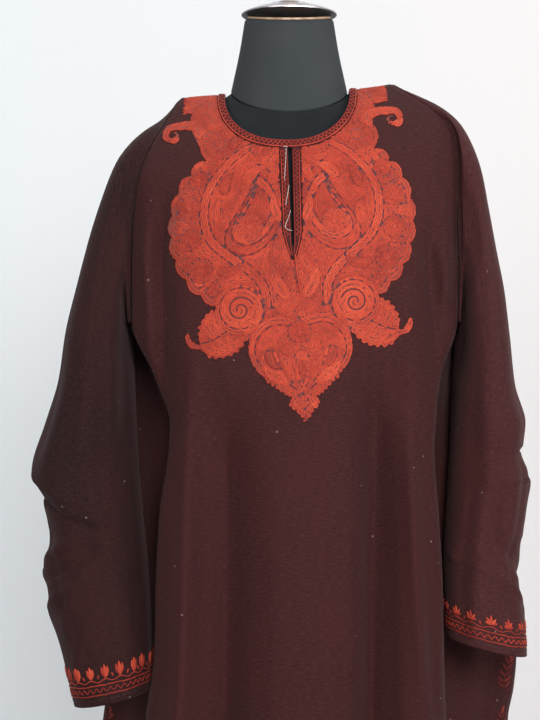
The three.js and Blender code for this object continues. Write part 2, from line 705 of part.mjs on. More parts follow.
// Bound edge of the slit: a strip beside the opening that tapers to the point below it.
function slitBand(side) {
  const top = SLIT_TOP - BAND_WIDTH - 1;
  const grid = range(14).map((t) => {
    const z = mix(BAND_POINT, top, t);
    const above = z - BAND_POINT;
    const near = BAND_PART + Math.min(slitHalf(z), (slitHalf(z) * above) / (SLIT_BOTTOM - BAND_POINT));
    const far = near + BAND_WIDTH * Math.min(1, BAND_TIP + above / BAND_TAPER);
    const ends = side === "left" ? [-far, -near] : [near, far];
    return range(2).map((u) => panelAt(true, slitX(z) + mix(ends[0], ends[1], u), z));
  });
  const lift = (distance) =>
    grid.map((line) => line.map((q) => q.point.clone().addScaledVector(q.normal, distance)));
  return wallGeometry(lift(BAND_CLEAR + BAND_CLOTH), lift(BAND_CLEAR), false);
}

// A solid through level rings, closed at both ends by a flat fan.
function loft(rings) {
  const count = rings[0].length;
  const points = rings.flat();
  const triangles = [];
  for (let i = 0; i < rings.length - 1; i++) {
    for (let j = 0; j < count; j++) {
      const k = (j + 1) % count;
      const a = i * count + j;
      const b = i * count + k;
      triangles.push(a, b, b + count, a, b + count, a + count);
    }
  }
  const middle = (ring) => ring.reduce((sum, p) => sum.add(p), new THREE.Vector3()).divideScalar(count);
  const low = points.push(middle(rings[0])) - 1;
  const high = points.push(middle(rings.at(-1))) - 1;
  const top = (rings.length - 1) * count;
  for (let j = 0; j < count; j++) {
    const k = (j + 1) % count;
    triangles.push(low, k, j, high, top + j, top + k);
  }
  return geometryOf(points, triangles);
}
function formRing(z, wide, front, back, drop, square) {
  const power = 2 / square;
  return Array.from({ length: FORM_AROUND }, (_, j) => {
    const angle = (2 * Math.PI * j) / FORM_AROUND;
    const c = Math.cos(angle);
    const s = Math.sin(angle);
    const depth = s < 0 ? front : back;
    const lower = (s < 0 ? drop : drop * DROP_BACK) * Math.pow(Math.abs(s), DROP_POWER);
    return new THREE.Vector3(
      wide * Math.sign(c) * Math.pow(Math.abs(c), power),
      depth * Math.sign(s) * Math.pow(Math.abs(s), power),
      z - lower,
    );
  });
}

function torsoGeometry() {
  const heights = [];
  for (let i = 0; i < TORSO.length - 1; i++) {
    const parts = i < 8 ? 1 : 2;
    for (let k = 0; k < parts; k++) heights.push(mix(TORSO[i].z, TORSO[i + 1].z, k / parts));
  }
  heights.push(TORSO.at(-1).z);
  const rings = heights.map((z) => {
    const r = torsoRow(z);
    return formRing(z, r.wide, r.front, r.back, r.drop, TORSO_SQUARE);
  });
  const base = neckBase;
  rings.push(formRing(NECK_BASE_SIDE - SEAM, base.wide, base.front, base.back, NECK_BASE_DROP, 2));
  return loft(rings);
}
function neckGeometry() {
  const neckRow = reader(
    [
      { z: NECK_BASE_SIDE, ...neckBase, drop: NECK_BASE_DROP },
      neckMiddle,
      { z: NECK_TOP_SIDE, ...neckTop, drop: NECK_TOP_DROP },
    ],
    "z",
  );
  const rings = range(6).map((t) => {
    const z = mix(NECK_BASE_SIDE, NECK_TOP_SIDE, t);
    const r = neckRow(z);
    return formRing(z, r.wide, r.front, r.back, r.drop, 2);
  });
  return loft(rings);
}
function boardGeometry() {
  const t = neckTop;
  return loft([
    formRing(NECK_TOP_SIDE + SEAM, t.wide - 0.6, t.front - 0.6, t.back - 0.6, NECK_TOP_DROP, 2),
    formRing(NECK_TOP_SIDE + SEAM + BOARD, t.wide - 0.6, t.front - 0.6, t.back - 0.6, NECK_TOP_DROP, 2),
  ]);
}
const CAP_BOTTOM = NECK_TOP_SIDE + SEAM + BOARD + SEAM;

// A turned piece: profile points are radius and height, from the axis at the bottom to the axis at the top.
function turned(profile, segments) {
  const geometry = new THREE.LatheGeometry(
    profile.map(([radius, height]) => new THREE.Vector2(radius, height)),
    segments,
  );
  geometry.rotateX(Math.PI / 2);
  return geometry;
}
function capGeometry() {
  const dome = range(5).map((t) => {
    const radius = mix(CAP_RADIUS, BOSS_RADIUS, t);
    const share = radius / CAP_RADIUS;
    return [radius, CAP_BOTTOM + CAP_RIM + (CAP_HEIGHT - CAP_RIM) * (1 - share ** 2.4)];
  });
  const bossTop = CAP_BOTTOM + CAP_HEIGHT + BOSS_HEIGHT - 2;
  return turned(
    [
      [0, CAP_BOTTOM],
      [CAP_RADIUS - 1, CAP_BOTTOM],
      ...dome,
      [BOSS_RADIUS - 1, bossTop - 0.8],
      [BOSS_RADIUS - 3, bossTop],
      [0, bossTop],
    ],
    32,
  );
}
function knobGeometry() {
  const bottom = CAP_BOTTOM + CAP_HEIGHT + BOSS_HEIGHT - 2 + SEAM;
  const centre = bottom + KNOB_STEM + KNOB_RADIUS * 0.85;
  const start = Math.asin(KNOB_STEM_RADIUS / KNOB_RADIUS);
  const ball = range(7).map((t) => {
    const angle = mix(start, Math.PI, t);
    return [KNOB_RADIUS * Math.sin(angle), centre - KNOB_RADIUS * Math.cos(angle)];
  });
  ball[ball.length - 1][0] = 0;
  return turned([[0, bottom], [KNOB_STEM_RADIUS + 2, bottom], [KNOB_STEM_RADIUS, bottom + 2], ...ball], 16);
}
function poleGeometry() {
  const length = TORSO_BOTTOM - HUB_TOP - 2 * SEAM;
  const geometry = new THREE.CylinderGeometry(POLE_RADIUS, POLE_RADIUS, length, 24);
  geometry.rotateX(Math.PI / 2);
  geometry.translate(0, 0, HUB_TOP + SEAM + length / 2);
  return geometry;
}
function baseGeometry() {
  return turned(
    [
      [0, 0],
      [BASE_RADIUS - 2, 0],
      [BASE_RADIUS, 3],
      [BASE_RADIUS, BASE_HEIGHT - 5],
      [BASE_RADIUS - 4, BASE_HEIGHT],
      [HUB_RADIUS + 14, BASE_HEIGHT + 5],
      [HUB_RADIUS, BASE_HEIGHT + 12],
      [HUB_RADIUS - 4, HUB_TOP],
      [0, HUB_TOP],
    ],
    40,
  );
}

// Finishes
const finish = (color, roughness, metalness) => new THREE.MeshStandardMaterial({ color, roughness, metalness });
const wool = finish(0x4a2828, 0.9, 0);
const binding = finish(0x8a3222, 0.85, 0);
const formCloth = finish(0x3c4144, 0.75, 0);
const satinMetal = finish(0xc8c6cc, 0.35, 0.9);
const darkMetal = finish(0x2c2e30, 0.5, 0.6);
const wood = finish(0xb08a5c, 0.6, 0);

const pheran = new THREE.Group();
function add(name, geometry, material) {
  const mesh = new THREE.Mesh(geometry, material);
  mesh.name = name;
  pheran.add(mesh);
}

add("front", frontGeometry, wool);
add("back", backGeometry, wool);
add("gore_left", bodyWall("gore_left", false), wool);
add("gore_right", bodyWall("gore_right", false), wool);
add("sleeve_left", sleeveSolid("left", SLEEVE_LEFT, SLEEVE_FOLDS_LEFT), wool);
add("sleeve_right", sleeveSolid("right", SLEEVE_RIGHT, SLEEVE_FOLDS_RIGHT), wool);
add("neck_band", neckBand(), binding);
add("slit_band_left", slitBand("left"), binding);
add("slit_band_right", slitBand("right"), binding);
add("form_torso", torsoGeometry(), formCloth);
add("form_neck", neckGeometry(), formCloth);
add("form_neck_board", boardGeometry(), wood);
add("form_cap", capGeometry(), satinMetal);
add("form_knob", knobGeometry(), wood);
add("form_pole", poleGeometry(), darkMetal);
add("form_base", baseGeometry(), darkMetal);

// The left sleeve stands out further than the right one. The origin is on the floor, under the middle.
const box = new THREE.Box3().setFromObject(pheran);
pheran.position.x = -(box.min.x + box.max.x) / 2;
pheran.updateMatrixWorld(true);

export default pheran;
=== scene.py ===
# %% [markdown]
# # A pheran on a dress form
#
# A pheran is a loose woollen gown. This one hangs on a limbless dress form and has a round neck with a short slit,
# long sleeves, and a yoke that is covered with rust-orange chain stitch. The solid model of every piece comes first
# and is fixed. This lesson gives each piece its real surface: cloth that folds, stitches that stand proud of it, and
# a smooth form inside.
#
# The gown's tables are in millimetres, as on a cutting plan, and everything is turned into metres when a mesh is made.

import math
import random

import bmesh
import bpy
import numpy as np
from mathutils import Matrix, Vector, kdtree, noise


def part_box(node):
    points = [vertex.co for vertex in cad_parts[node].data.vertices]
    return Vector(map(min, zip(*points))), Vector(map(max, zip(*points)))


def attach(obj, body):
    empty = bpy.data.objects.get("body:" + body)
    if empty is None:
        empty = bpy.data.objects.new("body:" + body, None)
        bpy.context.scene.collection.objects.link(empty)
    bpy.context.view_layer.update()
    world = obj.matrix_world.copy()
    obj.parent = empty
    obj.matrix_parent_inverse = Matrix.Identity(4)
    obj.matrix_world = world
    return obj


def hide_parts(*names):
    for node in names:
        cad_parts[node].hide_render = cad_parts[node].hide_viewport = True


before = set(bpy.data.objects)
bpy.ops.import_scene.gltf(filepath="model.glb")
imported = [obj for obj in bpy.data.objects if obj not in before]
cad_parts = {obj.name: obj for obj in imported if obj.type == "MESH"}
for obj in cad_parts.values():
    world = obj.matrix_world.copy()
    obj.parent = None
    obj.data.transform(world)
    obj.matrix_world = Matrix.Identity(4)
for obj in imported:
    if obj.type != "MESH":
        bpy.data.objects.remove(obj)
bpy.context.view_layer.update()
MM = 0.001
pole_low, pole_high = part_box("form_pole")
MIDDLE_X = (pole_low.x + pole_high.x) / 2
print("the form's middle is at x =", round(MIDDLE_X, 5))

# %% [markdown]
# ## The camera
#
# The gown was seen by a level camera about two metres away, a little left of the form's middle and at chest height.
# A long lens keeps the sides nearly parallel, so sizes can be compared across the whole gown. The sensor's width is
# fitted to the longer side of the picture, which is its height here.

# %% Camera
PICTURE_HEIGHT = 720
FOCAL_PIXELS = 1818
SENSOR = 36
camera_data = bpy.data.cameras.new("camera")
camera_data.sensor_width = SENSOR
camera_data.lens = SENSOR * FOCAL_PIXELS / PICTURE_HEIGHT
camera = bpy.data.objects.new("camera", camera_data)
bpy.context.scene.collection.objects.link(camera)
camera.location = (MIDDLE_X - 0.021, -2.0, 1.108)
camera.rotation_euler = (math.radians(90), 0, 0)
bpy.context.scene.camera = camera
bpy.context.scene.view_settings.view_transform = "Standard"
print("lens", round(camera_data.lens, 1), "mm")

# %% [markdown]
# ## Room and light
#
# A studio picture has a pale sweep of paper behind the subject and large soft lamps. The paper here is one curved
# sheet: a floor that rises into a wall. Big area lamps are soft because light reaches each fold from many directions.
# The paper is one-sided: its back is clear, so the gown can be seen from behind as well.
#
# The key stands in front, weaker lamps to its left and right, and a lamp above the back gives the shoulders a
# soft rim. Two more light the paper.


# %% Backdrop
def node_material(name):
    """A new material with nodes, and its shader."""
    material = bpy.data.materials.new(name)
    material.use_nodes = True
    return material, material.node_tree.nodes["Principled BSDF"]


def backdrop():
    half_width = 6.0
    floor_front = -6.0
    wall_y = 1.8
    bend = 1.0
    top = 5.0
    profile = [(floor_front, 0.0), (wall_y - bend, 0.0)]
    for step in range(1, 12):
        angle = math.radians(90 * step / 12)
        profile.append((wall_y - bend + bend * math.sin(angle), bend - bend * math.cos(angle)))
    profile += [(wall_y, bend), (wall_y, top)]
    points = [(x, y, z) for x in (-half_width, half_width) for y, z in profile]
    count = len(profile)
    faces = [(i, i + count, i + count + 1, i + 1) for i in range(count - 1)]
    mesh = bpy.data.meshes.new("backdrop")
    mesh.from_pydata(points, [], faces)
    mesh.polygons.foreach_set("use_smooth", [True] * len(faces))
    paper = bpy.data.objects.new("backdrop", mesh)
    bpy.context.scene.collection.objects.link(paper)
    material, shader = node_material("pale paper")
    tree = material.node_tree
    place = tree.nodes.new("ShaderNodeNewGeometry")
    split = tree.nodes.new("ShaderNodeSeparateXYZ")
    # the paper's colour carries painted light and shade: bluer at the left, pinker at the right, and darker towards the
    # floor
    ramp = tree.nodes.new("ShaderNodeValToRGB")
    spread = tree.nodes.new("ShaderNodeMapRange")
    spread.inputs["From Min"].default_value = -0.7
    spread.inputs["From Max"].default_value = 0.7
    ramp.color_ramp.elements[0].color = (0.84, 0.88, 0.90, 1)
    ramp.color_ramp.elements[1].color = (0.92, 0.89, 0.89, 1)
    rise = tree.nodes.new("ShaderNodeMapRange")
    rise.inputs["From Min"].default_value = 0.3
    rise.inputs["From Max"].default_value = 1.5
    rise.inputs["To Min"].default_value = 0.9
    shade = tree.nodes.new("ShaderNodeVectorMath")
    shade.operation = "SCALE"
    tree.links.new(place.outputs["Position"], split.inputs[0])
    tree.links.new(split.outputs["X"], spread.inputs["Value"])
    tree.links.new(spread.outputs[0], ramp.inputs[0])
    tree.links.new(split.outputs["Z"], rise.inputs["Value"])
    tree.links.new(ramp.outputs[0], shade.inputs[0])
    tree.links.new(rise.outputs[0], shade.inputs["Scale"])
    tree.links.new(shade.outputs[0], shader.inputs["Base Color"])
    shader.inputs["Roughness"].default_value = 0.9
    sides = tree.nodes.new("ShaderNodeMixShader")
    clear = tree.nodes.new("ShaderNodeBsdfTransparent")
    tree.links.new(place.outputs["Backfacing"], sides.inputs["Fac"])
    tree.links.new(shader.outputs[0], sides.inputs[1])
    tree.links.new(clear.outputs[0], sides.inputs[2])
    tree.links.new(sides.outputs[0], tree.nodes["Material Output"].inputs["Surface"])
    mesh.materials.append(material)


backdrop()


# %% Lamps
def soft_lamp(name, place, target, size, watts, colour, spread=180):
    """A rectangular lamp. A spread below 180 degrees stands for a grid that keeps the light off the floor."""
    data = bpy.data.lights.new(name, "AREA")
    data.shape = "RECTANGLE"
    data.size, data.size_y = size
    data.energy = watts
    data.color = colour
    data.spread = math.radians(spread)
    lamp = bpy.data.objects.new(name, data)
    lamp.location = place
    lamp.rotation_euler = (Vector(target) - Vector(place)).to_track_quat("-Z", "Y").to_euler()
    bpy.context.scene.collection.objects.link(lamp)


UPPER_CHEST = (MIDDLE_X, 0, 1.3)
soft_lamp("key", (0.3, -2.7, 1.75), UPPER_CHEST, (0.7, 0.8), 20.5, (1.0, 0.97, 0.955), 105)
soft_lamp("fill right", (1.75, -1.7, 2.0), UPPER_CHEST, (0.9, 1.0), 10.5, (0.97, 0.985, 1.0), 120)
soft_lamp("fill left", (-1.4, -2.2, 1.8), UPPER_CHEST, (0.9, 1.0), 5, (1.0, 0.98, 0.97), 120)
soft_lamp("overhead", (0.1, 0.4, 3.1), (MIDDLE_X, 0.1, 1.2), (2.0, 1.4), 7, (1, 1, 1))
soft_lamp("paper left", (-1.6, 0.4, 2.7), (-0.7, 1.8, 1.2), (1.2, 1.2), 16.8, (0.97, 0.99, 1.0))
soft_lamp("paper right", (1.6, 0.4, 2.7), (0.7, 1.8, 1.2), (1.2, 1.2), 16.8, (1.0, 0.98, 0.97))

world = bpy.data.worlds.new("studio")
bpy.context.scene.world = world
world.use_nodes = True
world.node_tree.nodes["Background"].inputs["Color"].default_value = (0.92, 0.95, 1.0, 1)
world.node_tree.nodes["Background"].inputs["Strength"].default_value = 0.13

# %% [markdown]
# ## Reading the cutting tables
#
# A loose gown has no simple geometric form, but it changes slowly from level to level. A short table gives the
# section at a few heights, and a smooth curve reads every height between them. This curve never swings past its rows,
# so the cloth gets no false waves.


# %% Table reader
def mix(a, b, t):
    return a + (b - a) * t


def smooth(t):
    u = np.clip(t, 0, 1)
    return u * u * (3 - 2 * u)


def reader(columns, rows):
    """A function that gives every column of a table at any key, the key being the first column."""
    data = np.array(rows, float)
    at = data[:, 0]
    value = data[:, 1:]
    step = np.diff(value, axis=0) / np.diff(at)[:, None]
    slope = np.zeros_like(value)
    slope[0], slope[-1] = step[0], step[-1]
    product = step[:-1] * step[1:]
    total = np.where(product > 0, step[:-1] + step[1:], 1)
    slope[1:-1] = np.where(product > 0, 2 * product / total, 0)

    def read(key):
        k = np.clip(np.asarray(key, float), at[0], at[-1])
        i = np.clip(np.searchsorted(at, k, side="right") - 1, 0, len(at) - 2)
        span = (at[i + 1] - at[i])[..., None]
        t = (k - at[i])[..., None] / span
        low = (2 * t**3 - 3 * t**2 + 1) * value[i] + (t**3 - 2 * t**2 + t) * slope[i] * span
        high = (3 * t**2 - 2 * t**3) * value[i + 1] + (t**3 - t**2) * slope[i + 1] * span
        out = low + high
        return {name: out[..., n] for n, name in enumerate(columns.split()[1:])}

    return read


# %% Front and back tables
HEM = 360
UNDERARM = 1149
SHOULDER = 1400
PANEL_COLUMNS = "level xl yl zl ym zm xr yr zr square turn"
# left edge x y z, middle y z, right edge x y z, how square the section is, degrees turned at its edges
front_row = reader(PANEL_COLUMNS, [
    (360, -188, -112, 360, -168, 360, 200, -112, 360, 3.0, 88),
    (560, -168, -104, 560, -158, 560, 180, -106, 560, 3.0, 88),
    (733, -151, -98, 733, -149, 733, 163, -98, 733, 3.0, 88),
    (810, -142, -94, 810, -145, 810, 161, -95, 810, 3.0, 88),
    (874, -141, -92, 874, -142, 874, 160, -93, 874, 2.9, 88),
    (949, -137, -90, 949, -139, 949, 156, -92, 949, 2.7, 86),
    (1013, -128, -86, 1013, -137, 1013, 152, -88, 1013, 2.5, 84),
    (1040, -127, -84, 1040, -136, 1040, 154, -84, 1040, 2.4, 82),
    (1090, -143, -79, 1090, -135, 1090, 160, -78, 1090, 2.3, 78),
    (1149, -168, -73, 1149, -134, 1149, 178, -73, 1149, 2.2, 72),
    (1200, -168, -72, 1204, -133, 1200, 179, -72, 1203, 2.2, 66),
    (1245, -167, -68, 1250, -127, 1245, 178, -68, 1250, 2.2, 62),
    (1290, -162, -60, 1298, -115, 1288, 180, -62, 1298, 2.1, 58),
    (1320, -156, -51, 1320, -102, 1317, 181, -55, 1328, 2.1, 56),
    (1345, -145, -40, 1345, -86, 1341, 176, -46, 1352, 2.0, 54),
    (1370, -131, -22, 1371, -60, 1368, 157, -33, 1376, 2.0, 52),
    (1388, -123, -8, 1387, -30, 1389, 131, -15, 1397, 2.0, 50),
    (1400, -118, 4, 1397, 4, 1402, 111, 4, 1412, 2.0, 50),
])
back_row = reader(PANEL_COLUMNS, [
    (360, -190, 118, 360, 150, 360, 205, 118, 360, 2.6, 84),
    (560, -176, 110, 560, 140, 560, 190, 110, 560, 2.6, 84),
    (733, -164, 102, 733, 130, 733, 178, 102, 733, 2.6, 84),
    (874, -152, 94, 874, 120, 874, 170, 95, 874, 2.5, 82),
    (1013, -146, 85, 1013, 110, 1013, 164, 87, 1013, 2.4, 80),
    (1090, -152, 77, 1090, 104, 1090, 166, 79, 1090, 2.3, 76),
    (1149, -168, 70, 1149, 100, 1149, 178, 70, 1149, 2.2, 72),
    (1200, -168, 70, 1204, 102, 1200, 179, 70, 1203, 2.2, 66),
    (1245, -167, 67, 1250, 103, 1245, 178, 67, 1250, 2.2, 62),
    (1290, -162, 60, 1298, 101, 1288, 180, 62, 1298, 2.1, 58),
    (1320, -156, 52, 1320, 95, 1320, 181, 56, 1328, 2.1, 56),
    (1345, -145, 42, 1345, 86, 1348, 176, 48, 1352, 2.0, 54),
    (1370, -131, 27, 1371, 72, 1374, 157, 37, 1376, 2.0, 52),
    (1388, -123, 15, 1387, 50, 1393, 131, 21, 1397, 2.0, 50),
    (1400, -118, 4, 1397, 4, 1402, 111, 4, 1412, 2.0, 50),
])

# %% [markdown]
# ## Folds and creases
#
# Wool hangs from the shoulders in long soft ridges and troughs, and crumples a little where the arm would lift it.
# Each fold is one row: where it starts, where it ends, how far it lifts the cloth and how wide it is. The first rows
# of each table are the folds that the solid model has. The rows after them are finer creases, and no two are alike.

# %% Fold tables
# long folds: x and z of the top, x and z of the bottom, lift, half-width
FRONT_FOLDS = [
    (90, 1130, 78, 330, -30, 24),
    (124, 1090, 124, 330, 6, 16),
    (-66, 1100, -74, 330, -30, 27),
    (10, 1040, 14, 330, 5, 46),
    (-110, 1010, -116, 330, 7, 16),
    (-126, 1262, -132, 1110, -8, 13),
    (148, 1290, 146, 1120, -8, 12),
    (112, 1300, 160, 1235, 5, 12),
]
BACK_FOLDS = [
    (-84, 1180, -96, 330, -12, 20),
    (92, 1150, 104, 330, -13, 19),
    (4, 1250, 0, 330, 7, 42),
    (-134, 1120, -142, 330, 6, 18),
    (140, 1100, 150, 330, 6, 18),
]
# short creases: x and z of one end, x and z of the other, lift, half-width
FRONT_CREASES = [
    (-100, 1308, -146, 1120, 5.4, 10),
    (-118, 1250, -150, 1170, 1.8, 7),
    (-96, 1150, -120, 960, 2.4, 12),
    (-40, 1040, -34, 380, -2.2, 14),
    (-92, 960, -96, 420, -2.0, 9),
    (-20, 820, -16, 380, 1.6, 12),
    (44, 1010, 40, 380, -1.8, 12),
    (66, 1085, 66, 500, 2.4, 10),
    (104, 1010, 98, 380, -2.6, 7),
    (138, 1080, 146, 700, -2.0, 7),
    (154, 1330, 168, 1285, -3.0, 5),
    (128, 1295, 164, 1246, 2.6, 7),
    (120, 1190, 132, 1060, 2.6, 9),
    (162, 1240, 165, 1160, 2.2, 7),
    (92, 1145, 118, 1040, -1.8, 10),
    (-60, 1110, -76, 1010, 1.5, 9),
    (14, 760, 24, 560, -1.4, 9),
    (-132, 930, -142, 640, -1.8, 7),
    (-133, 1285, -129, 1060, -16.0, 11),
    (-152, 1270, -150, 1120, 5.0, 7),
    (164, 1300, 166, 1160, 6.5, 6),
    (-100, 1110, -124, 600, 7.5, 10),
    (-122, 760, -126, 340, 5.5, 10),
    (84, 1095, 90, 340, -7.0, 13),
    (-60, 1000, -66, 340, -6.0, 16),
    (124, 1060, 146, 600, 6.5, 8),
    (146, 760, 150, 340, 5.0, 8),
    (146, 1255, 150, 1080, -9.5, 9),
    (-150, 1180, -112, 1035, 2.6, 8),
    (128, 880, 140, 560, 1.6, 8),
]
BACK_CREASES = [
    (-60, 1330, -100, 1180, 2.6, 12),
    (70, 1330, 108, 1190, 2.4, 11),
    (-128, 1280, -146, 1130, -3.2, 9),
    (136, 1290, 152, 1140, -3.4, 9),
    (-44, 1080, -50, 420, 2.4, 14),
    (50, 1060, 60, 400, 2.2, 13),
    (-16, 980, -18, 420, -1.8, 10),
    (26, 900, 30, 380, -1.7, 9),
    (-118, 1040, -124, 470, -2.4, 8),
    (122, 1010, 132, 430, -2.2, 8),
    (0, 1350, 4, 1270, 1.4, 16),
    (-90, 820, -104, 600, 1.6, 8),
]
FADE = 110
# below 2, a trough has a narrower bottom than a soft wave
TROUGH_POWER = 1.5
CREASE_DEPTH = 1.25


def fold_lift(folds, x, z):
    """Height of the long folds at x, z. A fold fades in below its top."""
    lift = np.zeros_like(x)
    for x_top, z_top, x_bottom, z_bottom, height, wide in folds:
        run = (z_top - z) / (z_top - z_bottom)
        offset = (x - mix(x_top, x_bottom, run)) / wide
        reaches_hem = 1 if z_bottom < HEM else 0
        fade = smooth((z_top - z) / FADE) * smooth((z - z_bottom) / FADE + reaches_hem)
        lift += height * fade * np.exp(-(np.abs(offset) ** (TROUGH_POWER if height < 0 else 2)))
    return lift


def crease_lift(creases, x, z):
    """Height of the short creases at x, z. A crease bends a little and dies away at both ends."""
    lift = np.zeros_like(x)
    for n, (x0, z0, x1, z1, height, wide) in enumerate(creases):
        length = math.hypot(x1 - x0, z1 - z0)
        along = ((x - x0) * (x1 - x0) + (z - z0) * (z1 - z0)) / length**2
        sway = 0.35 * wide * np.sin(along * math.pi * (1.3 + 0.4 * (n % 3)) + n)
        across = ((x - x0) * (z1 - z0) - (z - z0) * (x1 - x0)) / length - sway
        lift += CREASE_DEPTH * height * smooth(along / 0.3 + 0.15) * smooth((1 - along) / 0.3 + 0.15) * np.exp(-((across / wide) ** 2))
    return lift


# %% Panel surfaces
HEM_TURN = 22
HEM_STEP = 0.7


def panel(row, outward, level, s, folds, creases):
    """Points of the front or back panel. s runs from -1 at the left edge to 1 at the right edge."""
    r = row(level)
    left = s < 0
    edge = {axis: np.where(left, r[axis + "l"], r[axis + "r"]) for axis in "xyz"}
    power = 2 / r["square"]
    turn = np.radians(r["turn"])
    angle = np.abs(s) * turn
    across = (np.sin(angle) / np.sin(turn)) ** power
    back = (1 - np.cos(angle) ** power) / (1 - np.cos(turn) ** power)
    x = edge["x"] * across
    z = mix(r["zm"], edge["z"], across**2)
    settle = 1 - np.abs(s) ** 6
    lift = fold_lift(folds, x, z) + crease_lift(creases, x, z)
    hem = HEM_STEP * smooth((HEM + HEM_TURN - z) / 1.5)
    y = mix(r["ym"], edge["y"], back) + outward * (settle * lift + hem)
    return np.stack([x, y, z], -1)


def front_panel(level, s):
    return panel(front_row, -1, level, s, FRONT_FOLDS, FRONT_CREASES)


def back_panel(level, s):
    """s again runs from the viewer's left to right."""
    return panel(back_row, 1, level, s, BACK_FOLDS, BACK_CREASES)


def even_places(row, level, count):
    """Places from -1 to 1 across one level that are the same distance apart on the cloth."""
    fine = np.linspace(-1, 1, 601)
    fine = np.sign(fine) * np.abs(fine) ** 1.6
    line = panel(row, 0, np.full_like(fine, level), fine, [], [])
    length = np.concatenate([[0], np.cumsum(np.linalg.norm(np.diff(line, axis=0), axis=1))])
    return np.interp(np.linspace(0, length[-1], count), length, fine)


# %% [markdown]
# ## From grid to cloth
#
# Every cloth piece starts as a grid of points on its outer face. The grid also carries a flat map in metres, as if
# the piece were laid out again, so that the weave keeps its scale in every fold. A Solidify modifier gives the cloth
# its thickness inwards.


# %% Mesh helpers
def make_object(name, points, faces, material, unit=MM):
    """A mesh object on the form, from points in millimetres."""
    place = np.asarray(points, float).reshape(-1, 3) * unit
    place[:, 0] += MIDDLE_X
    mesh = bpy.data.meshes.new(name)
    mesh.from_pydata(place.tolist(), [], np.asarray(faces).tolist() if isinstance(faces, np.ndarray) else faces)
    mesh.polygons.foreach_set("use_smooth", [True] * len(mesh.polygons))
    mesh.materials.append(material)
    obj = bpy.data.objects.new(name, mesh)
    bpy.context.scene.collection.objects.link(obj)
    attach(obj, "root")
    return obj


def grid_faces(rows, columns, tube=False):
    """Quads of a grid whose rows go up. A tube's last column joins its first."""
    i, j = np.meshgrid(np.arange(rows - 1), np.arange(columns if tube else columns - 1), indexing="ij")
    k = (j + 1) % columns
    quads = np.stack([i * columns + j, i * columns + k, (i + 1) * columns + k, (i + 1) * columns + j], -1)
    return quads.reshape(-1, 4)


def grid_normals(grid, tube=False):
    """Unit directions out of the cloth at the points of a grid."""
    if tube:
        across = np.roll(grid, -1, axis=1) - np.roll(grid, 1, axis=1)
    else:
        across = np.gradient(grid, axis=1)
    up = np.gradient(grid, axis=0)
    normal = np.cross(across, up)
    return normal / np.maximum(np.linalg.norm(normal, axis=-1, keepdims=True), 1e-9)


def flat_map(obj, u, v, rows, columns):
    """Lays the piece out flat, in metres. Each corner of a face takes its own column, so a tube has one clean seam."""
    layer = obj.data.uv_layers.new(name="flat")
    corner = np.zeros(len(obj.data.loops), int)
    obj.data.loops.foreach_get("vertex_index", corner)
    i, j = corner // columns, corner % columns
    face = np.arange(len(corner)) // 4
    first = j[face * 4]
    wraps = (j == 0) & (first == columns - 1)
    step = u[:, -1] - u[:, -2]
    place = np.where(wraps, u[i, -1] + step[i], u[i, j])
    layer.data.foreach_set("uv", np.stack([place, v[i, j]], -1).ravel() * MM)


def thicken(obj, thickness):
    wall = obj.modifiers.new("cloth thickness", "SOLIDIFY")
    wall.thickness = thickness * MM
    wall.offset = -1
    return obj


def lengths(grid):
    """Distances across (from the middle) and up the cloth, in millimetres."""
    step_across = np.linalg.norm(np.diff(grid, axis=1), axis=-1)
    u = np.concatenate([np.zeros((len(grid), 1)), np.cumsum(step_across, axis=1)], axis=1)
    u -= u[:, grid.shape[1] // 2][:, None]
    middle = grid[:, grid.shape[1] // 2]
    up = np.concatenate([[0], np.cumsum(np.linalg.norm(np.diff(middle, axis=0), axis=-1))])
    return u, np.repeat(up[:, None], grid.shape[1], axis=1)


CLOTH = 1.3


def cloth_piece(name, grid, material, tube=False):
    rows, columns = grid.shape[:2]
    obj = make_object(name, grid, grid_faces(rows, columns, tube), material)
    u, v = lengths(grid)
    flat_map(obj, u, v, rows, columns)
    wide, high = np.ptp(u, axis=1).max() * MM, v.max() * MM
    area = sum(face.area for face in obj.data.polygons)
    print(name, "laid flat:", round(wide, 3), "by", round(high, 3), "m, area", round(area, 4), "m2")
    return obj


# %% [markdown]
# ## Wool
#
# The cloth is a matt plain weave with slubs: thicker bits of yarn that show as short, faint level flecks. Close up
# it has a fine nap, so its edges catch light, which the sheen gives. The weave is a bump of two crossed waves, the
# slubs are noise that is stretched along the weft, and a few pale lint specks sit on top.


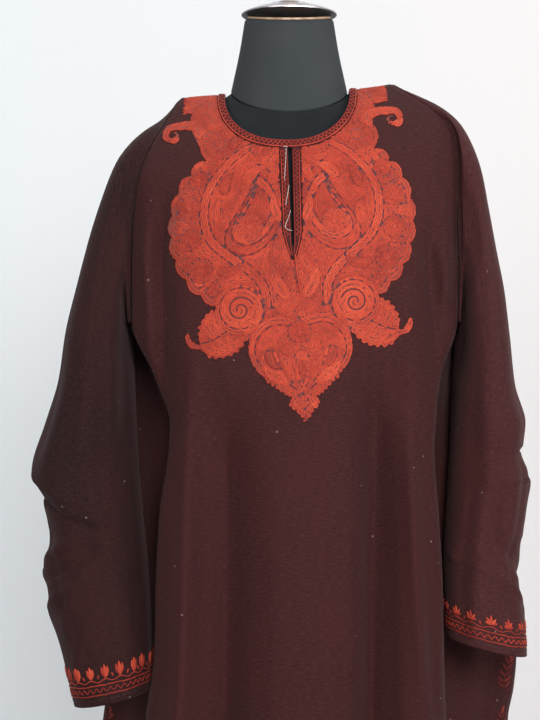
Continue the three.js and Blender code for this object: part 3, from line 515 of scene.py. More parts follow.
# %% Wool material
class Nodes:
    """Short calls to add and join a material's nodes."""

    def __init__(self, material):
        self.tree = material.node_tree
        self.count = 0

    def add(self, kind, **settings):
        node = self.tree.nodes.new("ShaderNode" + kind)
        for name, value in settings.items():
            setattr(node, name, value)
        return node

    def join(self, source, target):
        self.tree.links.new(source, target)

    def scaled(self, source, scale):
        stretch = self.add("VectorMath", operation="MULTIPLY")
        self.join(source, stretch.inputs[0])
        stretch.inputs[1].default_value = scale
        return stretch.outputs[0]

    def noise(self, source, scale, detail=3.0):
        texture = self.add("TexNoise")
        texture.inputs["Scale"].default_value = 1.0
        texture.inputs["Detail"].default_value = detail
        self.join(self.scaled(source, scale), texture.inputs["Vector"])
        return texture.outputs["Fac"]

    def ramp(self, source, *stops):
        ramp = self.add("ValToRGB")
        elements = ramp.color_ramp.elements
        while len(elements) < len(stops):
            elements.new(0.5)
        for element, (at, colour) in zip(elements, stops):
            element.position = at
            element.color = (*colour, 1) if len(colour) == 3 else colour
        self.join(source, ramp.inputs[0])
        return ramp.outputs[0]

    def math(self, operation, a, b=None, **settings):
        node = self.add("Math", operation=operation, **settings)
        for socket, value in zip(node.inputs, (a, b)):
            if isinstance(value, (int, float)):
                socket.default_value = value
            elif value is not None:
                self.join(value, socket)
        return node.outputs[0]

    def blend(self, share, a, b, mode="MIX"):
        node = self.add("Mix", data_type="RGBA", blend_type=mode)
        for socket, value in ((node.inputs[0], share), (node.inputs[6], a), (node.inputs[7], b)):
            if isinstance(value, (int, float)):
                socket.default_value = value
            elif isinstance(value, tuple):
                socket.default_value = (*value, 1)
            else:
                self.join(value, socket)
        return node.outputs[2]

    def bump(self, height, distance, strength, after=None):
        node = self.add("Bump")
        node.inputs["Distance"].default_value = distance
        node.inputs["Strength"].default_value = strength
        self.join(height, node.inputs["Height"])
        if after is not None:
            self.join(after, node.inputs["Normal"])
        return node.outputs[0]


def wool_material(name, dark, middle, light):
    material, shader = node_material(name)
    n = Nodes(material)
    flat = n.add("UVMap", uv_map="flat").outputs[0]
    across = n.add("TexWave", wave_type="BANDS", bands_direction="X")
    up = n.add("TexWave", wave_type="BANDS", bands_direction="Y")
    for wave, threads in ((across, 210.0), (up, 190.0)):
        wave.inputs["Scale"].default_value = threads
        wave.inputs["Distortion"].default_value = 1.2
        wave.inputs["Detail"].default_value = 1.0
        n.join(flat, wave.inputs["Vector"])
    weave = n.math("MULTIPLY", across.outputs["Fac"], up.outputs["Fac"])
    slubs = n.noise(flat, (150, 760, 1), 3.0)
    fleck = n.noise(flat, (330, 1500, 1), 2.0)
    cloud = n.noise(flat, (9, 6, 1), 3.0)
    nap = n.noise(flat, (2600, 2600, 1), 2.0)
    tone = n.ramp(slubs, (0.30, dark), (0.52, middle), (0.74, light))
    tone = n.blend(n.ramp(fleck, (0.56, (0, 0, 0)), (0.72, (0.6, 0.6, 0.6))), tone, (0.078, 0.031, 0.031))
    tone = n.blend(n.ramp(cloud, (0.35, (0, 0, 0)), (0.65, (0.30, 0.30, 0.30))), tone, (0.060, 0.0135, 0.013))
    lint = n.add("TexVoronoi", feature="F1")
    lint.inputs["Scale"].default_value = 1.0
    n.join(n.scaled(flat, (34, 42, 1)), lint.inputs["Vector"])
    speck = n.ramp(lint.outputs["Distance"], (0.0, (1, 1, 1)), (0.028, (1, 1, 1)), (0.05, (0, 0, 0)))
    tone = n.blend(n.math("MULTIPLY", speck, 0.55), tone, (0.30, 0.25, 0.24))
    n.join(tone, shader.inputs["Base Color"])
    shader.inputs["Roughness"].default_value = 0.86
    shader.inputs["Specular IOR Level"].default_value = 0.12
    shader.inputs["Sheen Weight"].default_value = 0.10
    shader.inputs["Sheen Roughness"].default_value = 0.45
    shader.inputs["Sheen Tint"].default_value = (0.62, 0.42, 0.42, 1)
    normal = n.bump(weave, 0.0004, 0.5)
    normal = n.bump(slubs, 0.0004, 0.4, normal)
    normal = n.bump(nap, 0.0003, 0.35, normal)
    n.join(normal, shader.inputs["Normal"])
    return material


wool = wool_material("wool", (0.031, 0.0098, 0.0100), (0.046, 0.0134, 0.0136), (0.070, 0.0228, 0.0228))
# the sleeves take copies of the same wool: a darker one on the left sleeve is painted shade, a lighter one on the right
# sleeve is painted light
painted_shade_wool = wool_material("wool, painted shade", (0.0135, 0.0062, 0.0067), (0.0215, 0.0090, 0.0094), (0.034, 0.0148, 0.0153))
painted_light_wool = wool_material("wool, painted light", (0.038, 0.0122, 0.0125), (0.056, 0.0167, 0.0170), (0.084, 0.0275, 0.0275))

# %% [markdown]
# ## The neck opening
#
# The neck is a wide, rather square oval whose ends lie on the shoulder seams, deeper in front, with a short slit
# below its middle. On real cloth it is cut after the panel is laid out, and so it is here: the grid is split along
# the line of the cut, and what lies inside is taken away.

# %% Neckline and slit
NECK_LEFT = -70
NECK_RIGHT = 66
NECK_DROP_FRONT = 63
NECK_DROP_BACK = 24
NECK_SQUARE = 2.3
NECK_MIDDLE = (NECK_LEFT + NECK_RIGHT) / 2
NECK_HALF = (NECK_RIGHT - NECK_LEFT) / 2
SLIT_TOP = 1337
SLIT_BOTTOM = 1226
SLIT_X_TOP = -0.5
SLIT_X_BOTTOM = 2.5
SLIT_HALF_TOP = 2.2
SLIT_HALF_BOTTOM = 1.2


def seam_height(x):
    """Height of the shoulder seam above x."""
    r = front_row(SHOULDER)
    s = np.where(x < 0, x / -r["xl"], x / r["xr"])
    return front_panel(np.full_like(x, SHOULDER), s)[..., 2]


def neck_inside(x, z, drop, grow=0.0):
    """Below zero inside the neck opening, grown by some millimetres, and above zero outside it."""
    wide = np.abs(x - NECK_MIDDLE) / (NECK_HALF + grow)
    deep = np.maximum(seam_height(x) - z, 0) / (drop + grow)
    return (wide**NECK_SQUARE + deep**NECK_SQUARE) ** (1 / NECK_SQUARE) - 1


def neckline(turn, drop, grow):
    """x and z of the neckline, from the left shoulder (0) over the middle to the right shoulder (1)."""
    angle = np.pi * turn
    power = 2 / NECK_SQUARE
    cosine = np.cos(angle)
    x = NECK_MIDDLE - (NECK_HALF + grow) * np.sign(cosine) * np.abs(cosine) ** power
    z = seam_height(x) - (drop + grow) * np.abs(np.sin(angle)) ** power
    return x, z


def slit_x(z):
    return mix(SLIT_X_BOTTOM, SLIT_X_TOP, (z - SLIT_BOTTOM) / (SLIT_TOP - SLIT_BOTTOM))


def slit_half(z):
    return mix(SLIT_HALF_BOTTOM, SLIT_HALF_TOP, (z - SLIT_BOTTOM) / (SLIT_TOP - SLIT_BOTTOM))


def split_along(mesh, value):
    """Splits every face that the line value = 0 crosses. value takes arrays of x and z in millimetres."""
    mesh.verts.index_update()
    place = np.array([v.co for v in mesh.verts]) / MM
    side = value(place[:, 0] - MIDDLE_X / MM, place[:, 2])
    crossed = []
    for edge in mesh.edges:
        a, b = side[edge.verts[0].index], side[edge.verts[1].index]
        if a * b < 0:
            crossed.append((edge, a / (a - b)))
    added = {bmesh.utils.edge_split(edge, edge.verts[0], share)[1] for edge, share in crossed}
    for face in {f for v in added for f in v.link_faces}:
        ends = [v for v in face.verts if v in added]
        if len(ends) == 2:
            bmesh.utils.face_split(face, ends[0], ends[1])


def cut_away(obj, lines, inside):
    """Cuts a panel along some lines and removes the faces that are inside."""
    mesh = bmesh.new()
    mesh.from_mesh(obj.data)
    for line in lines:
        split_along(mesh, line)
    middles = np.array([f.calc_center_median() for f in mesh.faces]) / MM
    gone = inside(middles[:, 0] - MIDDLE_X / MM, middles[:, 2])
    bmesh.ops.delete(mesh, geom=[f for f, g in zip(mesh.faces, gone) if g], context="FACES")
    mesh.to_mesh(obj.data)
    mesh.free()
    obj.data.polygons.foreach_set("use_smooth", [True] * len(obj.data.polygons))


# %% Front and back panels
BODY_STEP = 5.2
YOKE_STEP = 3.4


def panel_levels():
    body = np.linspace(HEM, UNDERARM, round((UNDERARM - HEM) / BODY_STEP) + 1)
    yoke = np.linspace(UNDERARM, SHOULDER, round((SHOULDER - UNDERARM) / YOKE_STEP) + 1)
    return np.concatenate([[HEM, HEM + HEM_TURN - 1.6], body[body > HEM + HEM_TURN], yoke[1:]])


def panel_grid(row, surface, columns):
    levels = panel_levels()
    places = np.array([even_places(row, level, columns) for level in levels])
    return surface(np.repeat(levels[:, None], columns, axis=1), places)


front_grid = panel_grid(front_row, front_panel, 105)
back_grid = panel_grid(back_row, back_panel, 75)[:, ::-1]
front = cloth_piece("cloth_front", front_grid, wool)
back = cloth_piece("cloth_back", back_grid, wool)

NEAR_SLIT = 12


def slit_side(sign):
    """A line down one side of the slit. Away from the slit it stops."""
    def value(x, z):
        away = (np.abs(x - slit_x(z)) > NEAR_SLIT) | (z < SLIT_BOTTOM - NEAR_SLIT) | (z > SLIT_TOP + NEAR_SLIT)
        return np.where(away, 1, sign * (x - slit_x(z)) - slit_half(z))
    return value


def slit_end(x, z):
    return np.where(np.abs(x - slit_x(z)) > NEAR_SLIT, 1, z - SLIT_BOTTOM)


def in_front_opening(x, z):
    slit = (np.abs(x - slit_x(z)) < slit_half(z)) & (z > SLIT_BOTTOM) & (z < SLIT_TOP + NEAR_SLIT)
    return (neck_inside(x, z, NECK_DROP_FRONT) < 0) | slit


cut_away(front, [lambda x, z: neck_inside(x, z, NECK_DROP_FRONT), slit_side(1), slit_side(-1), slit_end], in_front_opening)
cut_away(back, [lambda x, z: neck_inside(x, z, NECK_DROP_BACK)], lambda x, z: neck_inside(x, z, NECK_DROP_BACK) < 0)
thicken(front, CLOTH)
thicken(back, CLOTH)
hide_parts("front")
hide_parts("back")
print("front faces", len(front.data.polygons), "back faces", len(back.data.polygons))

# %% [markdown]
# ## Side gores
#
# A gore is a flared piece between front and back that gives the skirt its width. Behind the front panel it turns in
# to a valley and swings out to the side. Each level is a smooth curve through seven points, so the gore always meets
# the two panels.

# %% Gores
gore_row = {
    "left": reader("level xv yv xs ys", [
        (360, -180, -30, -250, 48),
        (560, -158, -30, -228, 48),
        (733, -134, -32, -205, 46),
        (810, -127, -34, -194, 44),
        (874, -125, -36, -186, 43),
        (949, -124, -38, -181, 43),
        (1013, -122, -38, -178, 44),
        (1090, -146, -30, -176, 46),
        (1128, -160, -27, -175, 36),
        (1149, -171, -24, -172, 24),
    ]),
    "right": reader("level xv yv xs ys", [
        (360, 190, -30, 264, 50),
        (560, 168, -30, 250, 50),
        (702, 150, -30, 247, 50),
        (741, 147, -30, 254, 49),
        (778, 145, -30, 258, 47),
        (850, 143, -32, 249, 45),
        (907, 142, -34, 228, 43),
        (975, 143, -36, 204, 42),
        (1040, 148, -34, 186, 44),
        (1090, 161, -30, 184, 54),
        (1149, 181, -24, 182, 24),
    ]),
}
# creases of the gores: share of the way round from front to back, level of the top and of the bottom, lift, width
GORE_CREASES = {
    "left": [(0.30, 900, 380, 3.0, 0.06), (0.58, 860, 420, -2.6, 0.05), (0.80, 1000, 400, 2.4, 0.06)],
    "right": [(0.26, 960, 400, 2.8, 0.06), (0.55, 830, 380, -3.0, 0.05), (0.78, 960, 420, 2.6, 0.06)],
}


def through(points, count):
    """A smooth line through some points, at places that are the same distance apart."""
    p = np.concatenate([[2 * points[0] - points[1]], points, [2 * points[-1] - points[-2]]])
    line = []
    t = np.linspace(0, 1, 24, endpoint=False)[:, None]
    for i in range(1, len(p) - 2):
        gap = [max(np.linalg.norm(p[i + k] - p[i + k - 1]) ** 0.5, 1e-4) for k in range(3)]
        enter = (p[i] - p[i - 1]) / gap[0] - (p[i + 1] - p[i - 1]) / (gap[0] + gap[1]) + (p[i + 1] - p[i]) / gap[1]
        leave = (p[i + 1] - p[i]) / gap[1] - (p[i + 2] - p[i]) / (gap[1] + gap[2]) + (p[i + 2] - p[i + 1]) / gap[2]
        a, b, ma, mb = p[i], p[i + 1], enter * gap[1], leave * gap[1]
        line.append((2 * t**3 - 3 * t**2 + 1) * a + (t**3 - 2 * t**2 + t) * ma + (3 * t**2 - 2 * t**3) * b + (t**3 - t**2) * mb)
    return evenly(np.concatenate([*line, [points[-1]]]), count)


def evenly(line, count):
    """The same line with its points the same distance apart."""
    along = np.concatenate([[0], np.cumsum(np.linalg.norm(np.diff(line, axis=0), axis=1))])
    at = np.linspace(0, along[-1], count)
    return np.stack([np.interp(at, along, line[:, k]) for k in range(line.shape[1])], -1)


def gore_line(side, level, count):
    """One level of a gore, from the front panel to the back panel."""
    sign = -1.0 if side == "left" else 1.0
    r = {name: float(value) for name, value in gore_row[side](level).items()}
    start = front_panel(np.array(float(level)), np.array(sign))
    end = back_panel(np.array(float(level)), np.array(sign))
    points = [
        start,
        (mix(start[0], r["xv"], 0.75), mix(start[1], r["yv"], 0.5), level),
        (r["xv"], r["yv"], level),
        (mix(r["xv"], r["xs"], 0.62), mix(r["yv"], r["ys"], 0.6), level),
        (r["xs"], r["ys"], level),
        (mix(r["xs"], end[0], 0.5), mix(r["ys"], end[1], 0.62), level),
        end,
    ]
    return through(np.array([np.asarray(p, float) for p in points]), count)


def gore_grid(side, columns=30):
    levels = panel_levels()
    levels = levels[levels <= UNDERARM]
    grid = np.array([gore_line(side, level, columns) for level in levels])
    if side == "left":
        grid = grid[:, ::-1]
    normal = grid_normals(grid)
    share = np.linspace(0, 1, columns)
    if side == "left":
        share = share[::-1]
    lift = np.zeros(grid.shape[:2])
    for at, top, bottom, height, wide in GORE_CREASES[side]:
        fade = smooth((top - levels) / 90) * smooth((levels - bottom) / 90 + 0.3)
        lift += height * fade[:, None] * np.exp(-(((share - at) / wide) ** 2))[None, :]
    lift += HEM_STEP * smooth((HEM + HEM_TURN - levels) / 1.5)[:, None]
    return grid + normal * (lift * np.sin(np.pi * np.clip(share, 0.02, 0.98)) ** 0.3)[..., None]


for side in ("left", "right"):
    gore = cloth_piece("cloth_gore_" + side, gore_grid(side), wool)
    thicken(gore, CLOTH)
    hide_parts("gore_" + side)
    print("gore", side, len(gore.data.polygons), "faces")

# %% [markdown]
# ## Sleeves
#
# A sleeve is a tube that is set into the armhole. Its sections are ovals in planes that slant more and more towards
# level, because the cloth hangs from the shoulder with no arm inside. Near the armhole the oval gives way to the
# armhole's own line, so both pieces share one seam. The folds of a sleeve are given by station down the sleeve and
# by the angle round it.

# %% Sleeve tables
SLEEVE_COLUMNS = "station xo zo xi zi yc half"
# outermost x and z, innermost x and z, y of the middle, half the depth from front to back
sleeve_row = {
    "left": reader(SLEEVE_COLUMNS, [
        (0, -119, 1397, -170, 1149, 0, 62),
        (1, -141, 1373, -173, 1146, -2, 71),
        (2, -163, 1357, -174, 1142, -3, 78),
        (3, -186, 1328, -175, 1136, -4, 85),
        (4, -205, 1281, -172.5, 1126, -6, 90),
        (5, -218, 1241, -171, 1112, -8, 92),
        (6, -231, 1190, -169.5, 1092, -12, 91),
        (7, -243, 1138, -168, 1068, -16, 87),
        (8, -250, 1088, -166.5, 1042, -20, 81),
        (9, -264, 1041, -164.5, 1010, -25, 75),
        (10, -281, 988, -161, 968, -31, 69),
        (11, -266, 956, -158, 940, -36, 67),
        (12, -258, 916, -154, 906, -42, 64),
        (13, -259, 878, -150, 868, -49, 61),
        (14, -253, 837, -147, 832, -58, 58),
        (15, -241, 795, -146, 797, -66, 55),
        (16, -228, 744, -146, 762, -74, 52),
    ]),
    "right": reader(SLEEVE_COLUMNS, [
        (0, 112, 1412, 180, 1149, 0, 62),
        (1, 133, 1403, 183, 1146, -2, 71),
        (2, 160, 1389, 184, 1142, -3, 78),
        (3, 188, 1364, 185, 1138, -4, 85),
        (4, 206, 1322, 182.5, 1130, -6, 91),
        (5, 214, 1281, 181.5, 1118, -8, 94),
        (6, 223, 1234, 180.5, 1102, -10, 93),
        (7, 233, 1184, 179, 1082, -13, 90),
        (8, 239, 1133, 177.5, 1060, -16, 86),
        (9, 244, 1083, 176, 1036, -20, 80),
        (10, 255, 1042, 174, 1008, -25, 74),
        (11, 252, 1013, 172, 984, -29, 71),
        (12, 258, 987, 170, 960, -34, 69),
        (13, 253, 942, 167, 924, -42, 66),
        (14, 246, 902, 165, 892, -49, 63),
        (15, 247, 862, 165, 862, -57, 60),
        (16, 250, 828, 165, 840, -64, 57),
        (17, 251, 796, 165, 817, -70, 54),
    ]),
}
LAST_STATION = {"left": 16, "right": 17}
# from station, from angle, to station, to angle, lift, half-width in degrees, reach past its ends in stations
SLEEVE_FOLDS = {
    "left": [
        (2.0, 78, 9.0, 112, -6, 16, 0.9),
        (3.0, 40, 10.5, 62, 5, 18, 0.9),
        (10.8, 8, 11.4, 84, -7, 20, 0.9),
        (12.6, 6, 11.8, 74, 5, 18, 0.9),
        (4.0, 250, 10.0, 268, -7, 18, 0.9),
        (8.0, 300, 15.0, 285, 5, 20, 0.9),
        (13.9, 4, 12.9, 84, 3.6, 11, 0.40),
        (13.2, 6, 12.3, 88, -3.0, 9, 0.35),
        (10.2, 30, 10.9, 96, 2.8, 9, 0.35),
        (11.5, 20, 14.8, 70, -2.2, 8, 0.5),
        (10.5, 100, 15.4, 118, 2.8, 9, 0.8),
        (9.0, 134, 15.2, 142, -2.4, 9, 0.8),
        (3.5, 66, 9.0, 88, 2.4, 9, 0.8),
        (5.0, 20, 9.0, 34, -2.2, 9, 0.8),
        (1.6, 100, 5.0, 128, 3.0, 10, 0.5),
        (3.0, 146, 8.0, 146, -9, 22, 1.2),
        (12.0, 98, 14.0, 52, 3.0, 9, 0.5),
        (13.6, 92, 15.2, 50, 2.6, 8, 0.5),
        (11.0, 214, 15.0, 226, 3.0, 10, 0.6),
        (10.9, 290, 11.8, 350, -5, 14, 0.5),
        (12.4, 292, 12.9, 352, 4, 12, 0.5),
        (2.5, 232, 8.0, 228, 3.0, 10, 0.8),
        (2.6, 214, 6.0, 216, 2.2, 13, 1.0),
    ],
    "right": [
        (2.5, 86, 10.0, 118, -6, 16, 0.9),
        (4.0, 44, 13.0, 70, 5, 18, 0.9),
        (11.0, 4, 10.8, 80, -6, 20, 0.9),
        (14.6, 6, 13.4, 84, -5, 18, 0.9),
        (4.0, 256, 11.0, 272, -7, 18, 0.9),
        (9.0, 302, 16.0, 286, 5, 20, 0.9),
        (15.4, 4, 14.2, 92, 3.2, 10, 0.40),
        (14.0, 104, 13.8, 146, 3.0, 10, 0.35),
        (12.2, 10, 12.0, 76, 3.2, 10, 0.40),
        (4.0, 70, 11.0, 92, 2.6, 9, 0.8),
        (11.5, 96, 16.4, 112, 2.6, 9, 0.8),
        (12.0, 122, 16.4, 132, -2.2, 8, 0.8),
        (12.0, 44, 16.0, 58, -2.0, 8, 0.6),
        (5.5, 20, 10.0, 30, -2.2, 8, 0.8),
        (2.6, 142, 6.0, 150, -17, 26, 1.0),
        (2.4, 96, 9.0, 104, 5, 16, 1.2),
        (12.6, 92, 15.2, 66, -3.4, 8, 0.6),
        (11.0, 216, 16.0, 228, 3.0, 10, 0.6),
        (11.2, 288, 11.4, 352, -5, 14, 0.5),
        (14.0, 290, 13.6, 352, 4, 12, 0.5),
        (2.5, 236, 8.0, 232, 3.0, 10, 0.8),
        (3.6, 218, 8.0, 218, 2.4, 13, 1.2),
    ],
}
SLEEVE_SQUARE = 2.15
BLEND_STATIONS = 3.2
SEAM = 0.3


# %% Sleeve surface
def armhole(side):
    """The armhole's closed line: down the front edge, under the arm and up the back edge."""
    sign = -1.0 if side == "left" else 1.0
    down = np.linspace(SHOULDER, UNDERARM, 60)
    edge = np.full_like(down, sign)
    front_edge = front_panel(down, edge)
    back_edge = back_panel(down[::-1], edge)
    under = gore_line(side, UNDERARM, 40)
    return np.concatenate([front_edge, under[1:-1], back_edge])


def sleeve_grid(side, rows, columns):
    """Rows run up the sleeve from the cuff. Columns go round so that the outer face is outside."""
    last = LAST_STATION[side]
    sign = -1.0 if side == "left" else 1.0
    station = np.linspace(last, 0, rows)[:, None] * np.ones((1, columns))
    turn = np.ones((rows, 1)) * (np.arange(columns) / columns)[None, :]
    if side == "right":
        turn = (1 - turn) % 1
    hole = evenly(armhole(side), 721)

    def oval(at):
        r = sleeve_row[side](at)
        angle = 2 * np.pi * turn
        out = np.sign(np.cos(angle)) * np.abs(np.cos(angle)) ** (2 / SLEEVE_SQUARE)
        front_share = np.sign(np.sin(angle)) * np.abs(np.sin(angle)) ** (2 / SLEEVE_SQUARE)
        share = (1 + out) / 2
        y = r["yc"] - r["half"] * front_share
        return np.stack([mix(r["xi"], r["xo"], share), y, mix(r["zi"], r["zo"], share)], -1)

    point = oval(station)
    settle = 1 - smooth(station / BLEND_STATIONS)
    on_hole = hole[np.round(turn * 720).astype(int)]
    point = point + (on_hole - oval(np.zeros_like(station))) * settle[..., None]
    r = sleeve_row[side](station)
    centre = np.stack([(r["xo"] + r["xi"]) / 2, r["yc"], (r["zo"] + r["zi"]) / 2], -1)
    outwards = point - centre
    outwards /= np.linalg.norm(outwards, axis=-1, keepdims=True)
    lift = np.zeros_like(station)
    for s0, a0, s1, a1, height, round_width, reach in SLEEVE_FOLDS[side]:
        run = (station - s0) / (s1 - s0)
        along = np.clip(run, 0, 1)
        past = (run - along) * (s1 - s0)
        away = (turn * 360 - mix(a0, a1, along) + 540) % 360 - 180
        lift += height * np.exp(-((away / round_width) ** 2) - (past / reach) ** 2)
    lift *= smooth(station / 2) * smooth((last - station) / 1.5 + 0.2)
    puff = 1.6 * np.exp(-(((station - 0.28) / 0.16) ** 2)) - 0.5 * np.exp(-((station / 0.06) ** 2))
    point = point + outwards * (lift + puff)[..., None]
    point[..., 0] += sign * SEAM * np.clip(1 - station / 0.4, 0, 1)
    return point


sleeves = {}
for side in ("left", "right"):
    grid = sleeve_grid(side, 176, 84)
    # the left sleeve wears the painted-shade copy of the wool, the right sleeve the painted-light copy
    sleeve = cloth_piece("cloth_sleeve_" + side, grid, painted_shade_wool if side == "left" else painted_light_wool, tube=True)
    thicken(sleeve, CLOTH)
    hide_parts("sleeve_" + side)
    sleeves[side] = grid
    print("sleeve", side, len(sleeve.data.polygons), "faces")

# %% [markdown]
# ## The dress form
#
# The form is a smooth hard shell under a tight charcoal cover, with a neck that ends in a wooden board and a
# satin metal cap. It could be sculpted, but its sections are simple rings, so a loft through rings gives a smoother
# surface. Each ring is lower in front than at its sides, as the base of a neck is.

# %% Form rings
FORM_AROUND = 128
DROP_BACK = 0.3
DROP_POWER = 1.15
torso_row = reader("z wide front back drop", [
    (845, 108, 84, 80, 0),
    (860, 120, 94, 90, 0),
    (905, 124, 97, 92, 0),
    (960, 120, 94, 86, 0),
    (1020, 114, 91, 78, 0),
    (1090, 126, 102, 80, 0),
    (1150, 144, 117, 86, 0),
    (1200, 153, 124, 90, 0),
    (1240, 157, 117, 92, 2),
    (1280, 158, 103, 89, 5),
    (1315, 155, 90, 82, 10),
    (1345, 143, 77, 70, 18),
    (1368, 122, 67, 61, 24),
    (1385, 94, 59, 53, 27),
    (1396, 70.6, 56, 51, 28),
])
NECK_BASE = 1402
NECK_TOP = 1483
NECK_BASE_DROP = 28
NECK_TOP_DROP = 9
neck_row = reader("z wide front back drop", [
    (NECK_BASE, 64, 55, 50, NECK_BASE_DROP),
    (1449, 54, 49, 48, 16),
    (NECK_TOP, 48.5, 46, 45, NECK_TOP_DROP),
])


def form_ring(z, wide, front_depth, back_depth, drop, square=2.0):
    angle = 2 * np.pi * np.arange(FORM_AROUND) / FORM_AROUND
    c, s = np.cos(angle), np.sin(angle)
    depth = np.where(s < 0, front_depth, back_depth)
    lower = np.where(s < 0, drop, drop * DROP_BACK) * np.abs(s) ** DROP_POWER
    power = 2 / square
    x = wide * np.sign(c) * np.abs(c) ** power
    y = depth * np.sign(s) * np.abs(s) ** power
    return np.stack([x, y, z - lower], -1)


def table_ring(row, z, square=2.0, shrink=0.0):
    r = {name: float(value) for name, value in row(z).items()}
    return form_ring(z, r["wide"] - shrink, r["front"] - shrink, r["back"] - shrink, r["drop"], square)


def lofted(name, rings, material):
    """A closed solid through rings, with a flat fan at each end."""
    count = len(rings[0])
    points = np.concatenate([*rings, rings[0].mean(0)[None], rings[-1].mean(0)[None]])
    faces = grid_faces(len(rings), count, tube=True).tolist()
    low, high = len(points) - 2, len(points) - 1
    top = (len(rings) - 1) * count
    for j in range(count):
        k = (j + 1) % count
        faces.append([low, k, j])
        faces.append([high, top + j, top + k])
    obj = make_object(name, points, faces, material)
    obj.data.set_sharp_from_angle(angle=math.radians(40))
    return obj


def turned(name, profile, material, segments=96):
    """A piece turned on a lathe, from its radius and height at each step up."""
    angle = 2 * np.pi * np.arange(segments) / segments
    rings = [np.stack([r * np.cos(angle), r * np.sin(angle), np.full(segments, z)], -1) for r, z in profile]
    return lofted(name, rings, material)


# %% [markdown]
# ## Finishes of the form
#
# The cover is a smooth knit: nearly flat, with a slight mottle and a fine grain. The cap is spun metal, so its brush
# lines run round it, and the board and the knob are turned from pale wood.


# %% Form materials
def cover_material(name, dark, light):
    material, shader = node_material(name)
    n = Nodes(material)
    place = n.add("TexCoord").outputs["Object"]
    mottle = n.noise(place, (14, 14, 14), 3.0)
    grain = n.noise(place, (900, 900, 900), 2.0)
    n.join(n.ramp(mottle, (0.3, dark), (0.7, light)), shader.inputs["Base Color"])
    shader.inputs["Roughness"].default_value = 0.72
    shader.inputs["Specular IOR Level"].default_value = 0.14
    n.join(n.bump(grain, 0.0003, 0.25, n.bump(mottle, 0.002, 0.2)), shader.inputs["Normal"])
    return material


def metal_material(name, dark, light, roughness):
    material, shader = node_material(name)
    n = Nodes(material)
    place = n.add("TexCoord").outputs["Object"]
    brushed = n.noise(place, (60, 60, 2400), 2.0)
    n.join(n.ramp(brushed, (0.3, dark), (0.7, light)), shader.inputs["Base Color"])
    n.join(n.ramp(brushed, (0.2, (roughness - 0.08,) * 3), (0.8, (roughness + 0.1,) * 3)), shader.inputs["Roughness"])
    n.join(n.bump(brushed, 0.0001, 0.2), shader.inputs["Normal"])
    shader.inputs["Metallic"].default_value = 1.0
    return material


def wood_material():
    material, shader = node_material("wood")
    n = Nodes(material)
    place = n.add("TexCoord").outputs["Object"]
    rings = n.add("TexWave", wave_type="RINGS", rings_direction="Z")
    rings.inputs["Scale"].default_value = 120
    rings.inputs["Distortion"].default_value = 4
    n.join(place, rings.inputs["Vector"])
    pores = n.noise(place, (300, 300, 60), 3.0)
    tone = n.ramp(rings.outputs["Fac"], (0.2, (0.40, 0.25, 0.15)), (0.9, (0.56, 0.38, 0.25)))
    n.join(n.blend(n.ramp(pores, (0.55, (0, 0, 0)), (0.75, (0.5, 0.5, 0.5))), tone, (0.22, 0.12, 0.06)), shader.inputs["Base Color"])
    shader.inputs["Roughness"].default_value = 0.5
    n.join(n.bump(pores, 0.0002, 0.3), shader.inputs["Normal"])
    return material


cover = cover_material("neck cover", (0.034, 0.041, 0.045), (0.046, 0.052, 0.056))
torso_cover = cover_material("torso cover", (0.010, 0.0125, 0.015), (0.016, 0.019, 0.022))
satin = metal_material("satin metal", (0.56, 0.53, 0.56), (0.74, 0.71, 0.74), 0.34)
black = metal_material("painted steel", (0.02, 0.021, 0.023), (0.04, 0.042, 0.045), 0.45)
black.node_tree.nodes["Principled BSDF"].inputs["Metallic"].default_value = 0.3
wood = wood_material()

# %% Torso, neck, board, cap, knob, pole and base
TORSO_SQUARE = 2.15
NECK_ROUND = 4.5
BOARD = 2.4
CAP_RADIUS = 52.5
CAP_HEIGHT = 13
CAP_RIM = 2.2
BOSS_RADIUS = 21
BOSS_TOP = 14.5
KNOB_RADIUS = 12
KNOB_STEM = 7
POLE_RADIUS = 15
BASE_RADIUS = 195

torso_rings = [table_ring(torso_row, z, TORSO_SQUARE) for z in np.linspace(845, 1396, 120)]
torso_rings += [form_ring(NECK_BASE - t, 64, 55, 50, NECK_BASE_DROP) for t in (1.4, 0.6, 0.3)]
torso_rings.append(form_ring(NECK_BASE - 1.6, 62.5, 53.5, 48.5, NECK_BASE_DROP))
torso = lofted("form_torso_cover", torso_rings, torso_cover)
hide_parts("form_torso")

neck_rings = [table_ring(neck_row, NECK_BASE - 0.4, shrink=1.6)]
neck_rings += [table_ring(neck_row, z, shrink=s) for z, s in ((NECK_BASE + 0.3, 0.5), (NECK_BASE + 1.0, 0.0))]
neck_rings += [table_ring(neck_row, z) for z in np.linspace(NECK_BASE + 2, NECK_TOP - NECK_ROUND, 40)]
for step in range(1, 9):
    angle = math.radians(10 * step)
    up = NECK_ROUND * (1 - math.sin(angle))
    neck_rings.append(table_ring(neck_row, NECK_TOP - up, shrink=0.6 * NECK_ROUND * (1 - math.cos(angle))))
neck = lofted("form_neck_cover", neck_rings, cover)
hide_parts("form_neck")

board_bottom = NECK_TOP + SEAM
board_rings = [form_ring(board_bottom + up, 45.8 + out, 43.4 + out, 42.4 + out, NECK_TOP_DROP)
               for up, out in ((0, -0.4), (0.4, 0), (BOARD - 0.4, 0), (BOARD, -0.4))]
board = lofted("form_board_wood", board_rings, wood)
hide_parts("form_neck_board")

